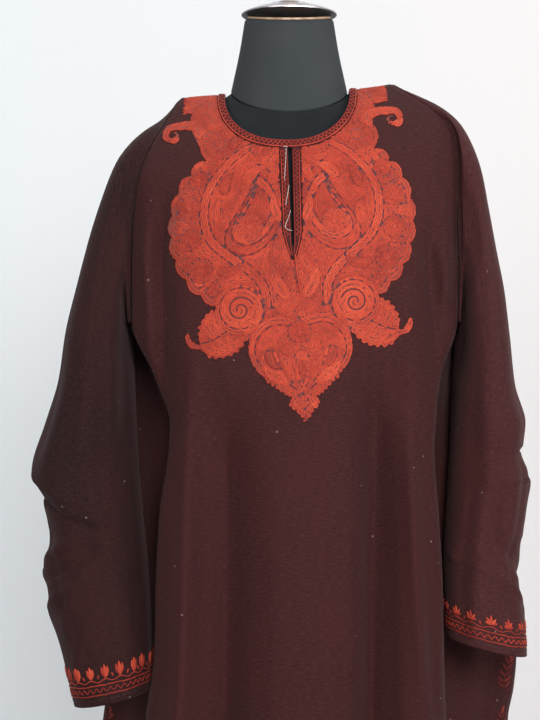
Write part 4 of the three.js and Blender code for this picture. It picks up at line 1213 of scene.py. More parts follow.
cap_bottom = board_bottom + BOARD + SEAM
dome = []
for step in range(13):
    radius = mix(CAP_RADIUS, BOSS_RADIUS, step / 12)
    dome.append((radius, cap_bottom + CAP_RIM + (CAP_HEIGHT - CAP_RIM) * (1 - (radius / CAP_RADIUS) ** 2.4)))
cap_profile = [(46.0, cap_bottom + 0.6), (50.6, cap_bottom), (CAP_RADIUS - 0.6, cap_bottom + 0.3)]
cap_profile += [(CAP_RADIUS, cap_bottom + 1.0), *dome]
cap_profile += [(BOSS_RADIUS - 0.4, cap_bottom + BOSS_TOP - 1.6), (BOSS_RADIUS - 1.4, cap_bottom + BOSS_TOP - 0.5)]
cap_profile += [(BOSS_RADIUS - 3, cap_bottom + BOSS_TOP), (8, cap_bottom + BOSS_TOP)]
cap = turned("form_cap_metal", cap_profile, satin)
# painted shade: the faces of the cap that point down take the black material, so the cap's underside is always dark
cap.data.materials.append(black)
for face in cap.data.polygons:
    face.material_index = 1 if face.normal.z < -0.5 else 0
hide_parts("form_cap")

knob_bottom = cap_bottom + BOSS_TOP + SEAM
knob_middle = knob_bottom + KNOB_STEM + KNOB_RADIUS * 0.85
knob_profile = [(7.5, knob_bottom), (7.5, knob_bottom + 0.8), (5.5, knob_bottom + 2.2)]
for angle in np.linspace(math.asin(5.5 / KNOB_RADIUS), math.pi - 0.06, 24):
    knob_profile.append((KNOB_RADIUS * math.sin(angle), knob_middle - KNOB_RADIUS * math.cos(angle)))
knob = turned("form_knob_wood", knob_profile, wood, 48)
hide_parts("form_knob")

pole = turned("form_pole_tube", [(POLE_RADIUS, 62.3), (POLE_RADIUS, 450), (POLE_RADIUS, 844.7)], black, 64)
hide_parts("form_pole")
base_profile = [(BASE_RADIUS - 2, 0), (BASE_RADIUS - 0.6, 0.9), (BASE_RADIUS, 3), (BASE_RADIUS, 11), (BASE_RADIUS - 1.2, 14)]
base_profile += [(BASE_RADIUS - 4, 16), (120, 18.9), (48, 21), (40, 23.4), (34, 28), (32.4, 45), (31, 60), (29.5, 62)]
base = turned("form_base_disc", base_profile, black, 128)
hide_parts("form_base")
print("form top", round(knob_profile[-1][1], 1), "mm")

# %% [markdown]
# ## Stitches as geometry
#
# The yoke is worked in chain stitch with a hooked needle: row beside row of small linked loops of wool yarn, so dense
# that hardly any cloth shows. A bump map would stay flat at the rim, so each row is a real strip here. Its section has
# two humps, the two legs of a loop, and it swells and narrows once for every link.
#
# A row is drawn on a map of the cloth first: a grid of points that can be read at any place between them, with a
# height above the surface. So the stitches follow every fold under them.


# %% Cloth maps and stitch strips
class ClothMap:
    """Reads a grid of cloth points at any fractional row and column."""

    def __init__(self, grid, tube=False):
        if tube:
            grid = np.concatenate([grid, grid[:, :1]], axis=1)
            normal = grid_normals(grid[:, :-1], True)
            self.normal = np.concatenate([normal, normal[:, :1]], axis=1)
        else:
            self.normal = grid_normals(grid)
        self.grid = grid

    def read(self, values, row, column):
        row = np.clip(row, 0, len(values) - 1.001)
        column = np.clip(column, 0, values.shape[1] - 1.001)
        i, j = row.astype(int), column.astype(int)
        s, t = (row - i)[..., None], (column - j)[..., None]
        low = mix(values[i, j], values[i, j + 1], t)
        return mix(low, mix(values[i + 1, j], values[i + 1, j + 1], t), s)

    def place(self, row, column):
        normal = self.read(self.normal, row, column)
        return self.read(self.grid, row, column), normal / np.linalg.norm(normal, axis=-1, keepdims=True)


STRIP_SIDE = np.array([-1.0, -0.60, 0.0, 0.60, 1.0])
STRIP_UP = np.array([-0.30, 0.86, 0.62, 0.86, -0.30])


def strips(name, runs, material):
    """One mesh of stitch strips. A run is a line of points with their normals, half-widths, heights and tones."""
    points, faces, tones = [], [], []
    start = 0
    for line, normal, width, height, tone in runs:
        along = np.gradient(line, axis=0)
        along /= np.maximum(np.linalg.norm(along, axis=1, keepdims=True), 1e-9)
        side = np.cross(along, normal)
        side /= np.maximum(np.linalg.norm(side, axis=1, keepdims=True), 1e-9)
        ring = line[:, None] + side[:, None] * (width[:, None] * STRIP_SIDE)[..., None]
        ring = ring + normal[:, None] * (height[:, None] * STRIP_UP)[..., None]
        points.append(ring.reshape(-1, 3))
        faces.append(grid_faces(len(line), 5) + start)
        tones.append(np.repeat(tone, 5))
        start += len(line) * 5
    obj = make_object(name, np.concatenate(points), np.concatenate(faces), material)
    attribute = obj.data.attributes.new("tone", "FLOAT", "POINT")
    attribute.data.foreach_set("value", np.concatenate(tones).astype(np.float32))
    print(name, len(runs), "rows", 2 * len(obj.data.polygons), "triangles")
    return obj


def resampled(line, spacing):
    """A flat line with points about the same distance apart, at least three."""
    length = np.linalg.norm(np.diff(line, axis=0), axis=1).sum()
    return evenly(line, max(3, round(length / spacing) + 1))


dice = np.random.default_rng(7)
LINK = 3.2
SECTIONS = 3


def chain_row(cloth, line, base, half_width, height, tone):
    """A chain-stitched row along a line of map rows and columns whose points are a third of a link apart."""
    count = len(line)
    place, normal = cloth.place(line[:, 0], line[:, 1])
    phase = np.arange(count) / SECTIONS + dice.random()
    swell = np.sin(np.pi * phase) ** 2
    links = dice.normal(0, 0.04, int(phase[-1]) + 2)[phase.astype(int)]
    ends = np.minimum(np.minimum(np.arange(count), np.arange(count)[::-1]) / 1.5, 1)
    width = half_width * (0.78 + 0.22 * swell) * (0.45 + 0.55 * ends)
    rise = height * (0.72 + 0.28 * swell) * (0.35 + 0.65 * ends)
    return place + normal * np.reshape(base, (-1, 1)), normal, width, rise, tone + links + dice.normal(0, 0.03)


def petal_row(cloth, line, base, half_width, height, tone):
    """A leaf or petal worked as one fat stitch: pointed at both ends."""
    place, normal = cloth.place(line[:, 0], line[:, 1])
    share = np.sin(np.pi * np.linspace(0.04, 0.97, len(line))) ** 0.75
    tones = np.full(len(line), tone + dice.normal(0, 0.08))
    return place + normal * base, normal, half_width * share, height * (0.4 + 0.6 * share), tones


# %% Thread material
def thread_material(name, dark, middle, light, sheen=0.35):
    """Wool yarn: its tone is read from the stitches, and fine noise along it gives the hairy twist."""
    material, shader = node_material(name)
    n = Nodes(material)
    tone = n.add("Attribute", attribute_name="tone").outputs["Fac"]
    place = n.add("TexCoord").outputs["Object"]
    fibre = n.noise(place, (1500, 1500, 1500), 2.0)
    cloud = n.noise(place, (38, 38, 38), 2.0)
    mixed = n.math("ADD", tone, n.math("MULTIPLY", n.math("SUBTRACT", fibre, 0.5), 0.55))
    mixed = n.math("ADD", mixed, n.math("MULTIPLY", n.math("SUBTRACT", cloud, 0.5), 0.5))
    n.join(n.ramp(mixed, (0.18, dark), (0.5, middle), (0.84, light)), shader.inputs["Base Color"])
    shader.inputs["Roughness"].default_value = 0.62
    shader.inputs["Specular IOR Level"].default_value = 0.2
    shader.inputs["Sheen Weight"].default_value = sheen
    shader.inputs["Sheen Tint"].default_value = (0.9, 0.5, 0.4, 1)
    n.join(n.bump(fibre, 0.0004, 0.5), shader.inputs["Normal"])
    return material


rust = thread_material("rust thread", (0.22, 0.020, 0.014), (0.47, 0.052, 0.026), (0.64, 0.098, 0.044), 0.08)
madder = thread_material("madder thread", (0.075, 0.010, 0.009), (0.19, 0.024, 0.018), (0.30, 0.05, 0.035), 0.05)

# %% [markdown]
# ## The yoke's map
#
# The yoke covers the chest and both shoulders, where the cloth turns away from the viewer. Its map therefore measures
# down the cloth from the shoulder seam, so rows stay as far apart on the shoulder as on the chest. The pattern itself
# is drawn in millimetres across from the slit and down from the neckline, and leans a little, as the gown hangs.

# %% Yoke map
MAP_LEFT = -165.0
MAP_RIGHT = 170.0
MAP_STEP = 1.5
MAP_BOTTOM = 985.0


def across_place(row, level, x):
    """Where x lies across one level of a panel, from -1 to 1."""
    r = row(level)
    turn = np.radians(r["turn"])
    share = np.clip(np.abs(x) / np.abs(np.where(x < 0, r["xl"], r["xr"])), 0, 1)
    return np.sign(x) * np.arcsin(share ** (r["square"] / 2) * np.sin(turn)) / turn


class ShoulderMap(ClothMap):
    """A map of the front or back: a column for each x, a row for each step down the cloth from the shoulder."""

    def __init__(self, row, surface, bottom):
        x = np.arange(MAP_LEFT, MAP_RIGHT, MAP_STEP)
        level = np.linspace(SHOULDER, bottom, 420)[:, None] * np.ones((1, len(x)))
        line = surface(level, across_place(row, level, x[None, :] * np.ones_like(level)))
        down = np.linalg.norm(np.diff(line, axis=0), axis=-1)
        down = np.concatenate([np.zeros((1, len(x))), np.cumsum(down, axis=0)])
        steps = np.arange(0, down[-1].min(), MAP_STEP)
        grid = np.stack([np.stack([np.interp(steps, down[:, j], line[:, j, k]) for k in range(3)], -1)
                         for j in range(len(x))], axis=1)
        super().__init__(grid[::-1])
        self.steps = len(steps)
        self.heights = np.arange(bottom + 10, SHOULDER + 14)
        self.down = np.stack([np.interp(-self.heights, -grid[:, j, 2], steps) for j in range(len(x))], axis=1)

    def down_at(self, x, z):
        """Distance down the cloth of the point at x, z."""
        return self.read(self.down[..., None], z - self.heights[0], (x - MAP_LEFT) / MAP_STEP)[..., 0]

    def cells(self, x, down):
        """Map rows and columns of places given by x and the distance down the cloth."""
        return self.steps - 1 - down / MAP_STEP, (x - MAP_LEFT) / MAP_STEP

    def point(self, x, down):
        return self.place(*self.cells(x, down))


yoke = ShoulderMap(front_row, front_panel, MAP_BOTTOM)
nape = ShoulderMap(back_row, back_panel, 1200.0)
if nape.normal[..., 1].mean() < 0:
    nape.normal = -nape.normal
print("yoke map", yoke.grid.shape, "front faces -Y:", yoke.normal[..., 1].mean() < 0)

LEAN = 0.075
AXIS_TOP = -0.5
AXIS_SLIT = 2.5
AXIS_POINT = 15.9
SLIT_LENGTH = 111
YOKE_LENGTH = 290


def on_cloth(line):
    """Turns a pattern line (across, down) in millimetres into x and the distance down the cloth."""
    across, down = np.asarray(line, float).T
    axis = np.where(down < 0, AXIS_TOP - 7 * smooth(-down / 20), mix(AXIS_TOP, AXIS_SLIT, down / SLIT_LENGTH))
    below = mix(AXIS_SLIT, AXIS_POINT, (down - SLIT_LENGTH) / (YOKE_LENGTH - SLIT_LENGTH))
    x = np.where(down > SLIT_LENGTH, below, axis) + across
    z = SLIT_TOP - down + LEAN * across
    return np.stack([x, yoke.down_at(x, z)], -1)


# %% [markdown]
# ## Drawing the motifs
#
# Kashmiri chain-stitch yokes share an old stock of motifs: paisleys, rosettes, curling tendrils, serrated leaves and
# a pointed pendant. None is copied stitch by stitch here. Each kind is a small formula, and the yoke is composed from
# them at the sizes that a hand would draw: first on one half, then mirrored over the slit.


# %% Motif formulas
def teardrop(a, d, length, width, heading, bend=0.0, count=40):
    """A petal or paisley from its point at a, d. heading is in degrees, 0 outwards and 90 downwards."""
    t = np.linspace(0, 2 * np.pi, count, endpoint=False)
    share = (1 - np.cos(t)) / 2
    side = 0.5 * width * np.sin(t) * share**0.55 * 1.25
    angle = np.radians(heading + bend * (1 - share) ** 1.5)
    return np.stack([a + length * share * np.cos(angle) - side * np.sin(angle),
                     d + length * share * np.sin(angle) + side * np.cos(angle)], -1)


def ring(a, d, radius, count=48, squash=1.0):
    t = np.linspace(0, 2 * np.pi, count, endpoint=False)
    return np.stack([a + radius * np.cos(t), d + radius * squash * np.sin(t)], -1)


def spiral(a, d, outer, inner, start, turns, count=90):
    """An open line that winds inwards. start is in degrees, and positive turns go from outwards to downwards."""
    t = np.linspace(0, 1, count)
    angle = np.radians(start) + 2 * np.pi * turns * t
    radius = mix(outer, inner, t**0.85)
    return np.stack([a + radius * np.cos(angle), d + radius * np.sin(angle)], -1)


def curve(points, count=60):
    return through(np.array(points, float), count)


def stroke(line, start_width, end_width, middle_width=None):
    """The outline of a thick curved line whose width changes from its start to its end."""
    t = np.linspace(0, 1, len(line))
    width = mix(start_width, end_width, t)
    if middle_width is not None:
        width = width + (middle_width - (start_width + end_width) / 2) * np.sin(np.pi * t)
    along = np.gradient(line, axis=0)
    along /= np.linalg.norm(along, axis=1, keepdims=True)
    side = np.stack([-along[:, 1], along[:, 0]], -1) * width[:, None] / 2
    return np.concatenate([line + side, (line - side)[::-1]])


def serrated(line, teeth, depth, from_share=0.0, to_share=1.0):
    """Adds leaf teeth to one edge line."""
    line = evenly(line, 240)
    t = np.linspace(0, 1, len(line))
    along = np.gradient(line, axis=0)
    along /= np.linalg.norm(along, axis=1, keepdims=True)
    out = np.stack([along[:, 1], -along[:, 0]], -1)
    saw = (t * teeth) % 1
    tooth = depth * np.where(saw < 0.7, saw / 0.7, (1 - saw) / 0.3) * ((t >= from_share) & (t <= to_share))
    return line + out * tooth[:, None]


class Pattern:
    """Motifs in stacking order. An area is stitched, a vein only parts the rows, and quiet discs have few slits."""

    def __init__(self):
        self.areas = []
        self.veins = []
        self.quiet = []

    def area(self, outline, tone, both=True):
        for sign in ((1, -1) if both else (1,)):
            self.areas.append((np.asarray(outline, float) * (sign, 1), tone + 0.03 * sign))

    def vein(self, line, both=True, dark=False):
        for sign in ((1, -1) if both else (1,)):
            self.veins.append((np.asarray(line, float) * (sign, 1), len(self.areas), dark))

    def fan(self, a, d, inner, outer, headings, both=True):
        """Lines that spread from a middle at a, d, so that the rows between them fan out."""
        for heading in np.radians(headings):
            out = np.array([math.cos(heading), math.sin(heading)])
            self.vein(np.array([(a, d), (a, d)]) + np.outer((inner, outer), out), both)

    def rosette(self, a, d, radius, petals, turn=0.0, tone=0.5, both=True):
        """A round flower whose rows fan out from a small eye."""
        self.area(ring(a, d, radius), tone - 0.04, both)
        self.quiet += [((sign * a, d), radius) for sign in ((1, -1) if both else (1,))]
        self.fan(a, d, 0.45 * radius, 0.88 * radius, turn + 180 * np.arange(2 * petals) / petals, both)
        self.area(ring(a, d, 0.2 * radius, 20), tone + 0.12, both)


# %% Composing the yoke
pattern = Pattern()
SCALLOPS = 8
WING_A, WING_D = 55, 88
WING_WIDE, WING_HIGH = 71, 84


def wing_edge(bulge, grow):
    """The scalloped outer edge of a wing, from the horn down to the swirl."""
    t = np.linspace(0, 1, 220)
    angle = np.radians(mix(-62, 69, t))
    radius = 1 + grow + bulge * np.abs(np.sin(np.pi * SCALLOPS * t)) ** 0.75
    return np.stack([WING_A + WING_WIDE * radius * np.cos(angle), WING_D + WING_HIGH * radius * np.sin(angle)], -1)


top_line = curve([(0, -10), (30, -26), (62, -56), (86, -58), (99, -40), (97, -18), (94, 4)], 50)
low_line = curve([(82, 172), (66, 196), (48, 208), (34, 216), (16, 224), (0, 226)], 40)
half_ground = np.concatenate([top_line, wing_edge(0.062, 0), low_line])
ground = np.concatenate([half_ground, (half_ground * (-1, 1))[::-1]])
pattern.area(ground, 0.44, both=False)

# horns that curl over the shoulders
horn_line = np.concatenate([curve([(86, -14), (92, -26), (104, -31)], 20), spiral(117.5, -20.5, 10.5, 2.6, -118, 1.3, 60)[4:]])
pattern.area(stroke(horn_line, 15, 3.2, 7.0), 0.56)
pattern.vein(horn_line[12:])

# rim of the wings: a plain cord outside, a row of small fans inside
pattern.vein(wing_edge(0.050, -0.075))
for n in range(SCALLOPS):
    middle = math.radians(mix(-62, 69, (n + 0.5) / SCALLOPS))
    heading = math.degrees(math.atan2(WING_HIGH * math.sin(middle), WING_WIDE * math.cos(middle)))
    start = (WING_A + 0.70 * WING_WIDE * math.cos(middle), WING_D + 0.70 * WING_HIGH * math.sin(middle))
    pattern.area(teardrop(*start, 20, 17, heading), 0.50 + 0.10 * math.cos(n * 2.1))
    pattern.fan(*start, 7, 16, (heading - 24, heading, heading + 24))

# the great curve that parts the wings from the paisleys and runs on into the swirl
great = curve([(22, -6), (44, 4), (66, 20), (86, 48), (91, 76), (84, 100), (66, 118), (46, 134), (33, 152), (31, 174)], 110)
pattern.area(stroke(great, 6, 9, 9), 0.60)
pattern.vein(stroke(great, 6, 9, 9), dark="dashed")
pattern.vein(great)

# paisleys on both sides of the slit, one in the other, with a flower inside
for grow, tone in ((1.0, 0.40), (0.76, 0.56), (0.54, 0.38)):
    paisley = teardrop(38 - 4 * grow, 72 - 50 * grow, 98 * grow, 56 * grow, 78, 40)
    pattern.area(paisley, tone)
    pattern.vein(np.concatenate([paisley, paisley[:1]]), dark="dashed")
pattern.rosette(44, 88, 13, 6, 10, 0.58)
pattern.area(teardrop(24, 26, 30, 13, 30, -30), 0.60)
pattern.area(teardrop(16, 20, 26, 12, 78, 24), 0.50)
pattern.area(teardrop(17, 52, 34, 11, 96, -24), 0.58)
pattern.area(teardrop(17, 96, 34, 12, 80, 26), 0.46)
pattern.area(teardrop(58, 30, 26, 14, 58, -30), 0.36)
pattern.area(teardrop(74, 66, 26, 13, 96, 30), 0.50)

# shoulder rosettes, and leaves from them to the neck
pattern.rosette(72, -4, 18, 7, 20, 0.46)
pattern.area(teardrop(36, -18, 24, 13, -42, 24), 0.56)
pattern.area(teardrop(56, -34, 20, 12, -70, 20), 0.42)
pattern.area(teardrop(44, -8, 22, 12, 28, -26), 0.36)
pattern.rosette(30, 4, 11, 5, 0, 0.52)

# flowers along the wings
for a, d, radius, petals in ((96, 34, 10, 5), (106, 64, 12, 6), (106, 98, 12, 6), (96, 130, 13, 6)):
    pattern.rosette(a, d, radius, petals, d, 0.47)

# between the paisleys and the swirls
pattern.area(teardrop(4, 128, 42, 15, 70, 20), 0.44)
pattern.area(teardrop(22, 128, 40, 15, 108, -26), 0.60)
pattern.area(teardrop(52, 124, 30, 13, 20, 40), 0.36)
pattern.area(teardrop(3, 176, 36, 16, 62, 20), 0.56)
pattern.area(teardrop(24, 172, 34, 15, 112, -20), 0.42)
pattern.vein([(0, 116), (0.5, 162)], both=False)

# serrated leaves with a curled tip
upper = serrated(curve([(62, 172), (82, 170), (97, 180), (103, 194), (104, 206)], 40), 9, 3.4, 0.1, 0.86)
lower = serrated(curve([(104, 211), (92, 219), (76, 219), (62, 212), (50, 194)], 40), 9, 3.4, 0.14, 1.0)
tip = curve([(104, 205), (110, 201), (113, 196), (112, 191), (116, 192), (118, 200), (113, 209), (104, 211)], 24)
pattern.area(np.concatenate([upper, tip, lower]), 0.52)
pattern.vein(curve([(56, 182), (74, 194), (92, 203), (108, 205)], 40), dark="dashed")
for share in (0.25, 0.45, 0.65, 0.85):
    root = (56 + 44 * share, 183 + 20 * share)
    pattern.vein([root, (root[0] + 5, root[1] - 15 + 8 * share)])
    pattern.vein([root, (root[0] - 9, root[1] + 12 - 4 * share)])

# swirls, which lie over the leaves
SWIRL_A, SWIRL_D = 59, 173
pattern.area(ring(SWIRL_A, SWIRL_D, 26, 60), 0.60)
pattern.vein(spiral(SWIRL_A, SWIRL_D, 14.5, 3, 200, 1.5, 110), dark=True)
pattern.vein(spiral(SWIRL_A, SWIRL_D, 25, 19.5, 120, 1.0, 80), dark="dashed")

# pendant: two full shoulders, serrated sides and a leaf at the point
side = curve([(0, 186), (26, 182), (46, 194), (54, 214), (50, 232), (38, 247)], 60)
teeth = serrated(curve([(38, 247), (24, 258), (13, 268)], 40), 6, 3.6)
leaf_side = serrated(curve([(13, 266), (15, 273), (8, 281), (0, 293)], 40), 6, 3.4)
half_pendant = np.concatenate([side, teeth, leaf_side])
pattern.area(np.concatenate([half_pendant, (half_pendant * (-1, 1))[::-1]]), 0.46, both=False)
pattern.vein(curve([(6, 194), (28, 192), (43, 204), (47, 218), (42, 233), (26, 246), (8, 258)], 60), dark="dashed")
pattern.area(teardrop(10, 252, 44, 24, -52, 46), 0.62)
pattern.area(teardrop(20, 236, 24, 13, -50, 46), 0.34)
pattern.area(teardrop(0, 262, 44, 18, -90), 0.56, both=False)
pattern.area(teardrop(0, 254, 24, 9, -90), 0.36, both=False)
pattern.area(teardrop(6, 226, 26, 13, -62, 30), 0.50)
pattern.rosette(0, 200, 12, 7, -90, 0.50, both=False)
pattern.area(teardrop(3, 262, 20, 8, 62, 10), 0.54)
pattern.vein([(0, 262), (0, 290)], both=False)
for down in (252, 260, 268, 276):
    pattern.vein([(1, down + 4), (13 - (down - 252) * 0.3, down - 4)])
print("motif areas", len(pattern.areas), "veins", len(pattern.veins))

# %% [markdown]
# ## From motifs to rows
#
# An embroiderer fills a motif from its outline inwards, each row beside the last. A distance field does the same:
# every place on the map knows how far it is from the nearest outline, and the rows are its contour lines, one thread
# apart. Where an outline is drawn a little wider, a slit of dark cloth stays open, and such slits draw the pattern.

# %% Distance field
CELL = 0.75
ROW_PITCH = 1.9
SAMPLE = 0.7
FIELD_LEFT = -150.0
FIELD_WIDE = 396
FIELD_HIGH = 560
BAND_WIDTH = 8
BAND_POINT = 1212
BAND_TAPER = 34
BAND_TIP = 0.18
BAND_PART = 0.3


def inside(polygon, x, y):
    """Which of the places lie inside a closed outline."""
    hit = np.zeros(x.shape, bool)
    for (x0, y0), (x1, y1) in zip(polygon, np.roll(polygon, -1, axis=0)):
        if y0 == y1:
            continue
        spans = (y0 > y) != (y1 > y)
        hit ^= spans & (x < (x1 - x0) * (y - y0) / (y1 - y0) + x0)
    return hit


def band_reach(z):
    """How far from the slit's middle its band ends."""
    above = z - BAND_POINT
    near = BAND_PART + np.minimum(slit_half(z), slit_half(z) * above / (SLIT_BOTTOM - BAND_POINT))
    return near, near + BAND_WIDTH * np.minimum(1, BAND_TIP + above / BAND_TAPER)


def fringe_block(sign):
    """The worked block on a shoulder, from the neck band out to its fringed end, as x and distance down."""
    inner, outer = (54, 103) if sign > 0 else (-60, -112)
    tooth = 4.5 * sign
    edge = []
    for n in range(7):
        edge += [(outer + tooth, 3 + 5.6 * n), (outer + tooth, 6.6 + 5.6 * n), (outer - 1.6 * sign, 7.6 + 5.6 * n)]
    return np.array([(inner, 1.5), (outer, 1.5), *edge, (outer - 6 * sign, 44), (inner, 52)], float)


def outline_samples(polygon, closed=True):
    line = np.concatenate([polygon, polygon[:1]]) if closed else polygon
    return resampled(line, SAMPLE)


areas = [(on_cloth(outline), tone) for outline, tone in pattern.areas]
blocks = [(fringe_block(sign), 0.50) for sign in (1, -1)]
areas = blocks + areas
field_x = FIELD_LEFT + CELL * np.arange(FIELD_WIDE)[None, :] * np.ones((FIELD_HIGH, 1))
field_d = CELL * np.arange(FIELD_HIGH)[:, None] * np.ones((1, FIELD_WIDE))
field_z = yoke.point(field_x, field_d)[0][..., 2]
stitched = np.zeros(field_x.shape, bool)
tone_field = np.zeros(field_x.shape)
top_area = np.full(field_x.shape, -1)
for number, (polygon, tone) in enumerate(areas):
    lo, hi = polygon.min(0), polygon.max(0)
    i0, i1 = max(int(lo[1] / CELL), 0), min(int(hi[1] / CELL) + 2, FIELD_HIGH)
    j0, j1 = max(int((lo[0] - FIELD_LEFT) / CELL), 0), min(int((hi[0] - FIELD_LEFT) / CELL) + 2, FIELD_WIDE)
    part = (slice(i0, i1), slice(j0, j1))
    hit = inside(polygon, field_x[part], field_d[part])
    stitched[part] |= hit
    tone_field[part][hit] = tone
    top_area[part][hit] = number

near_slit = (np.abs(field_x - slit_x(field_z)) < band_reach(field_z)[1] + 0.4) & (field_z > BAND_POINT) & (field_z < SLIT_TOP)
near_neck = neck_inside(field_x, field_z, NECK_DROP_FRONT, BAND_WIDTH) < 0.004
stitched &= ~(near_slit | near_neck)


def area_at(points):
    i = np.clip((points[:, 1] / CELL).round().astype(int), 0, FIELD_HIGH - 1)
    j = np.clip(((points[:, 0] - FIELD_LEFT) / CELL).round().astype(int), 0, FIELD_WIDE - 1)
    return top_area[i, j]


seeds = []
dark_seeds = []
for number, (polygon, tone) in enumerate(areas):
    samples = outline_samples(polygon)
    seeds.append(samples[area_at(samples) <= number])
for line, number, dark in pattern.veins:
    samples = outline_samples(on_cloth(line), closed=False)
    seeds.append(samples[area_at(samples) < number + len(blocks)])
    if dark:
        along = SAMPLE * np.arange(len(seeds[-1]))
        open_here = np.sin(0.62 * along + 1.7 * np.sin(0.13 * along)) > 0.2
        dark_seeds.append(seeds[-1][open_here | (dark != "dashed")])
for sign in (1, -1):
    outer = 103 if sign > 0 else -112
    for n in range(1, 7):
        finger = 2.4 + 5.6 * n
        seeds.append(outline_samples(np.array([(outer - 17 * sign, finger), (outer + 3 * sign, finger)], float), closed=False))
        dark_seeds.append(seeds[-1][::2] if n % 2 else seeds[-1][10:])
edge = stitched ^ (np.roll(stitched, 1, 0) & np.roll(stitched, -1, 0) & np.roll(stitched, 1, 1) & np.roll(stitched, -1, 1))
edge &= stitched
seeds.append(np.stack([field_x[edge], field_d[edge]], -1))
seeds = np.concatenate(seeds)
tree = kdtree.KDTree(len(seeds))
for n, (x, d) in enumerate(seeds):
    tree.insert((x, d, 0), n)
tree.balance()
distance = np.full(field_x.shape, -1.0)
where = np.argwhere(stitched)
distance[stitched] = [tree.find((field_x[i, j], field_d[i, j], 0))[2] for i, j in where]
wave = np.sin(field_x * 0.71 + 2 * np.sin(field_d * 0.23)) * np.sin(field_d * 0.63 + 2 * np.sin(field_x * 0.29))
gap = 0.8 * smooth((wave - 0.28) / 0.4)
for centre, radius in pattern.quiet:
    (x, d), = on_cloth([centre])
    gap[(field_x - x) ** 2 + (field_d - d) ** 2 < (radius - 1) ** 2] *= 0.6
for x, d in np.concatenate(dark_seeds)[::2]:
    gap = np.maximum(gap, 0.9 * ((field_x - x) ** 2 + (field_d - d) ** 2 < 3.2))
field = np.where(stitched, distance - gap, -1.0)
print("seeds", len(seeds), "stitched area", round(stitched.sum() * CELL**2 / 100), "square centimetres")


# %% Contour rows
def contours(values, level):
    """Lines of one value on a square grid, as fractional rows and columns."""
    above = values > level
    across = above[:, :-1] != above[:, 1:]
    upright = above[:-1] != above[1:]
    cell = across[:-1] | across[1:] | upright[:, :-1] | upright[:, 1:]
    links = {}
    for i, j in np.argwhere(cell):
        ends = []
        if across[i, j]:
            ends.append((i, j, 0))
        if upright[i, j + 1]:
            ends.append((i, j + 1, 1))
        if across[i + 1, j]:
            ends.append((i + 1, j, 0))
        if upright[i, j]:
            ends.append((i, j, 1))
        for a, b in zip(ends[::2], ends[1::2]):
            links.setdefault(a, []).append(b)
            links.setdefault(b, []).append(a)

    def place(end):
        i, j, kind = end
        if kind == 0:
            return i, j + (level - values[i, j]) / (values[i, j + 1] - values[i, j])
        return i + (level - values[i, j]) / (values[i + 1, j] - values[i, j]), j

    lines = []
    used = set()
    for start in links:
        if start in used:
            continue
        line = [start]
        used.add(start)
        for direction in (0, 1):
            here = line[-1] if direction == 0 else line[0]
            while True:
                step = next((e for e in links[here] if e not in used), None)
                if step is None:
                    break
                used.add(step)
                line.insert(0, step) if direction else line.append(step)
                here = step
        closed = len(line) > 4 and line[0] in links[line[-1]]
        points = [place(e) for e in line]
        lines.append(np.array(points + points[:1] if closed else points))
    return lines


PILLOW = 1.0


def pillow(depth):
    """The stitches stand higher inside a motif than at its outline."""
    return 0.15 + PILLOW * (1 - np.exp(-np.maximum(depth, 0) / 2.6))


def read_field(values, points):
    i = np.clip(points[:, 0].round().astype(int), 0, FIELD_HIGH - 1)
    j = np.clip(points[:, 1].round().astype(int), 0, FIELD_WIDE - 1)
    return values[i, j]


yoke_runs = {"left": [], "right": [], "pendant": []}
for ring_number in range(12):
    level = (0.5 + ring_number) * ROW_PITCH
    for line in contours(field, level):
        length = np.linalg.norm(np.diff(line, axis=0), axis=1).sum() * CELL
        if length < 2.4:
            continue
        line = resampled(line, LINK / SECTIONS / CELL)
        x, down = FIELD_LEFT + line[:, 1] * CELL, line[:, 0] * CELL
        base = pillow(read_field(distance, line))
        tone = read_field(tone_field, line) - 0.05 * (ring_number == 0)
        cells = np.stack(yoke.cells(x, down), -1)
        part = "pendant" if down.mean() > 245 else ("left" if x.mean() < 0 else "right")
        yoke_runs[part].append(chain_row(yoke, cells, base, 0.56 * ROW_PITCH, 0.95, tone))
for part, runs in yoke_runs.items():
    strips("yoke_stitches_" + part, runs, rust)

# %% [markdown]
# ## The ground between the rows
#
# Between the rows lies shade. A thin ground lies under the rows and follows the same pillows. Its colour is painted
# shade: a darker copy of the thread inside a motif, and where an outline opens a purple, partly its own tint and partly
# painted shade.


# %% Yoke ground
def shaded_ground_material():
    material, shader = node_material("yoke ground, painted shade")
    n = Nodes(material)
    open_line = n.add("Attribute", attribute_name="open").outputs["Fac"]
    place = n.add("TexCoord").outputs["Object"]
    fibre = n.noise(place, (700, 700, 700), 3.0)
    # both colours of the ground are painted shade: a darker copy of the thread, and a purple darkened as shade for the
    # open slits
    thread = n.ramp(fibre, (0.3, (0.16, 0.018, 0.013)), (0.7, (0.34, 0.043, 0.023)))
    shaded_plum = n.ramp(fibre, (0.3, (0.009, 0.005, 0.012)), (0.7, (0.034, 0.014, 0.030)))
    n.join(n.blend(open_line, thread, shaded_plum), shader.inputs["Base Color"])
    shader.inputs["Roughness"].default_value = 0.8
    shader.inputs["Sheen Weight"].default_value = 0.2
    n.join(n.bump(fibre, 0.0006, 0.6), shader.inputs["Normal"])
    return material


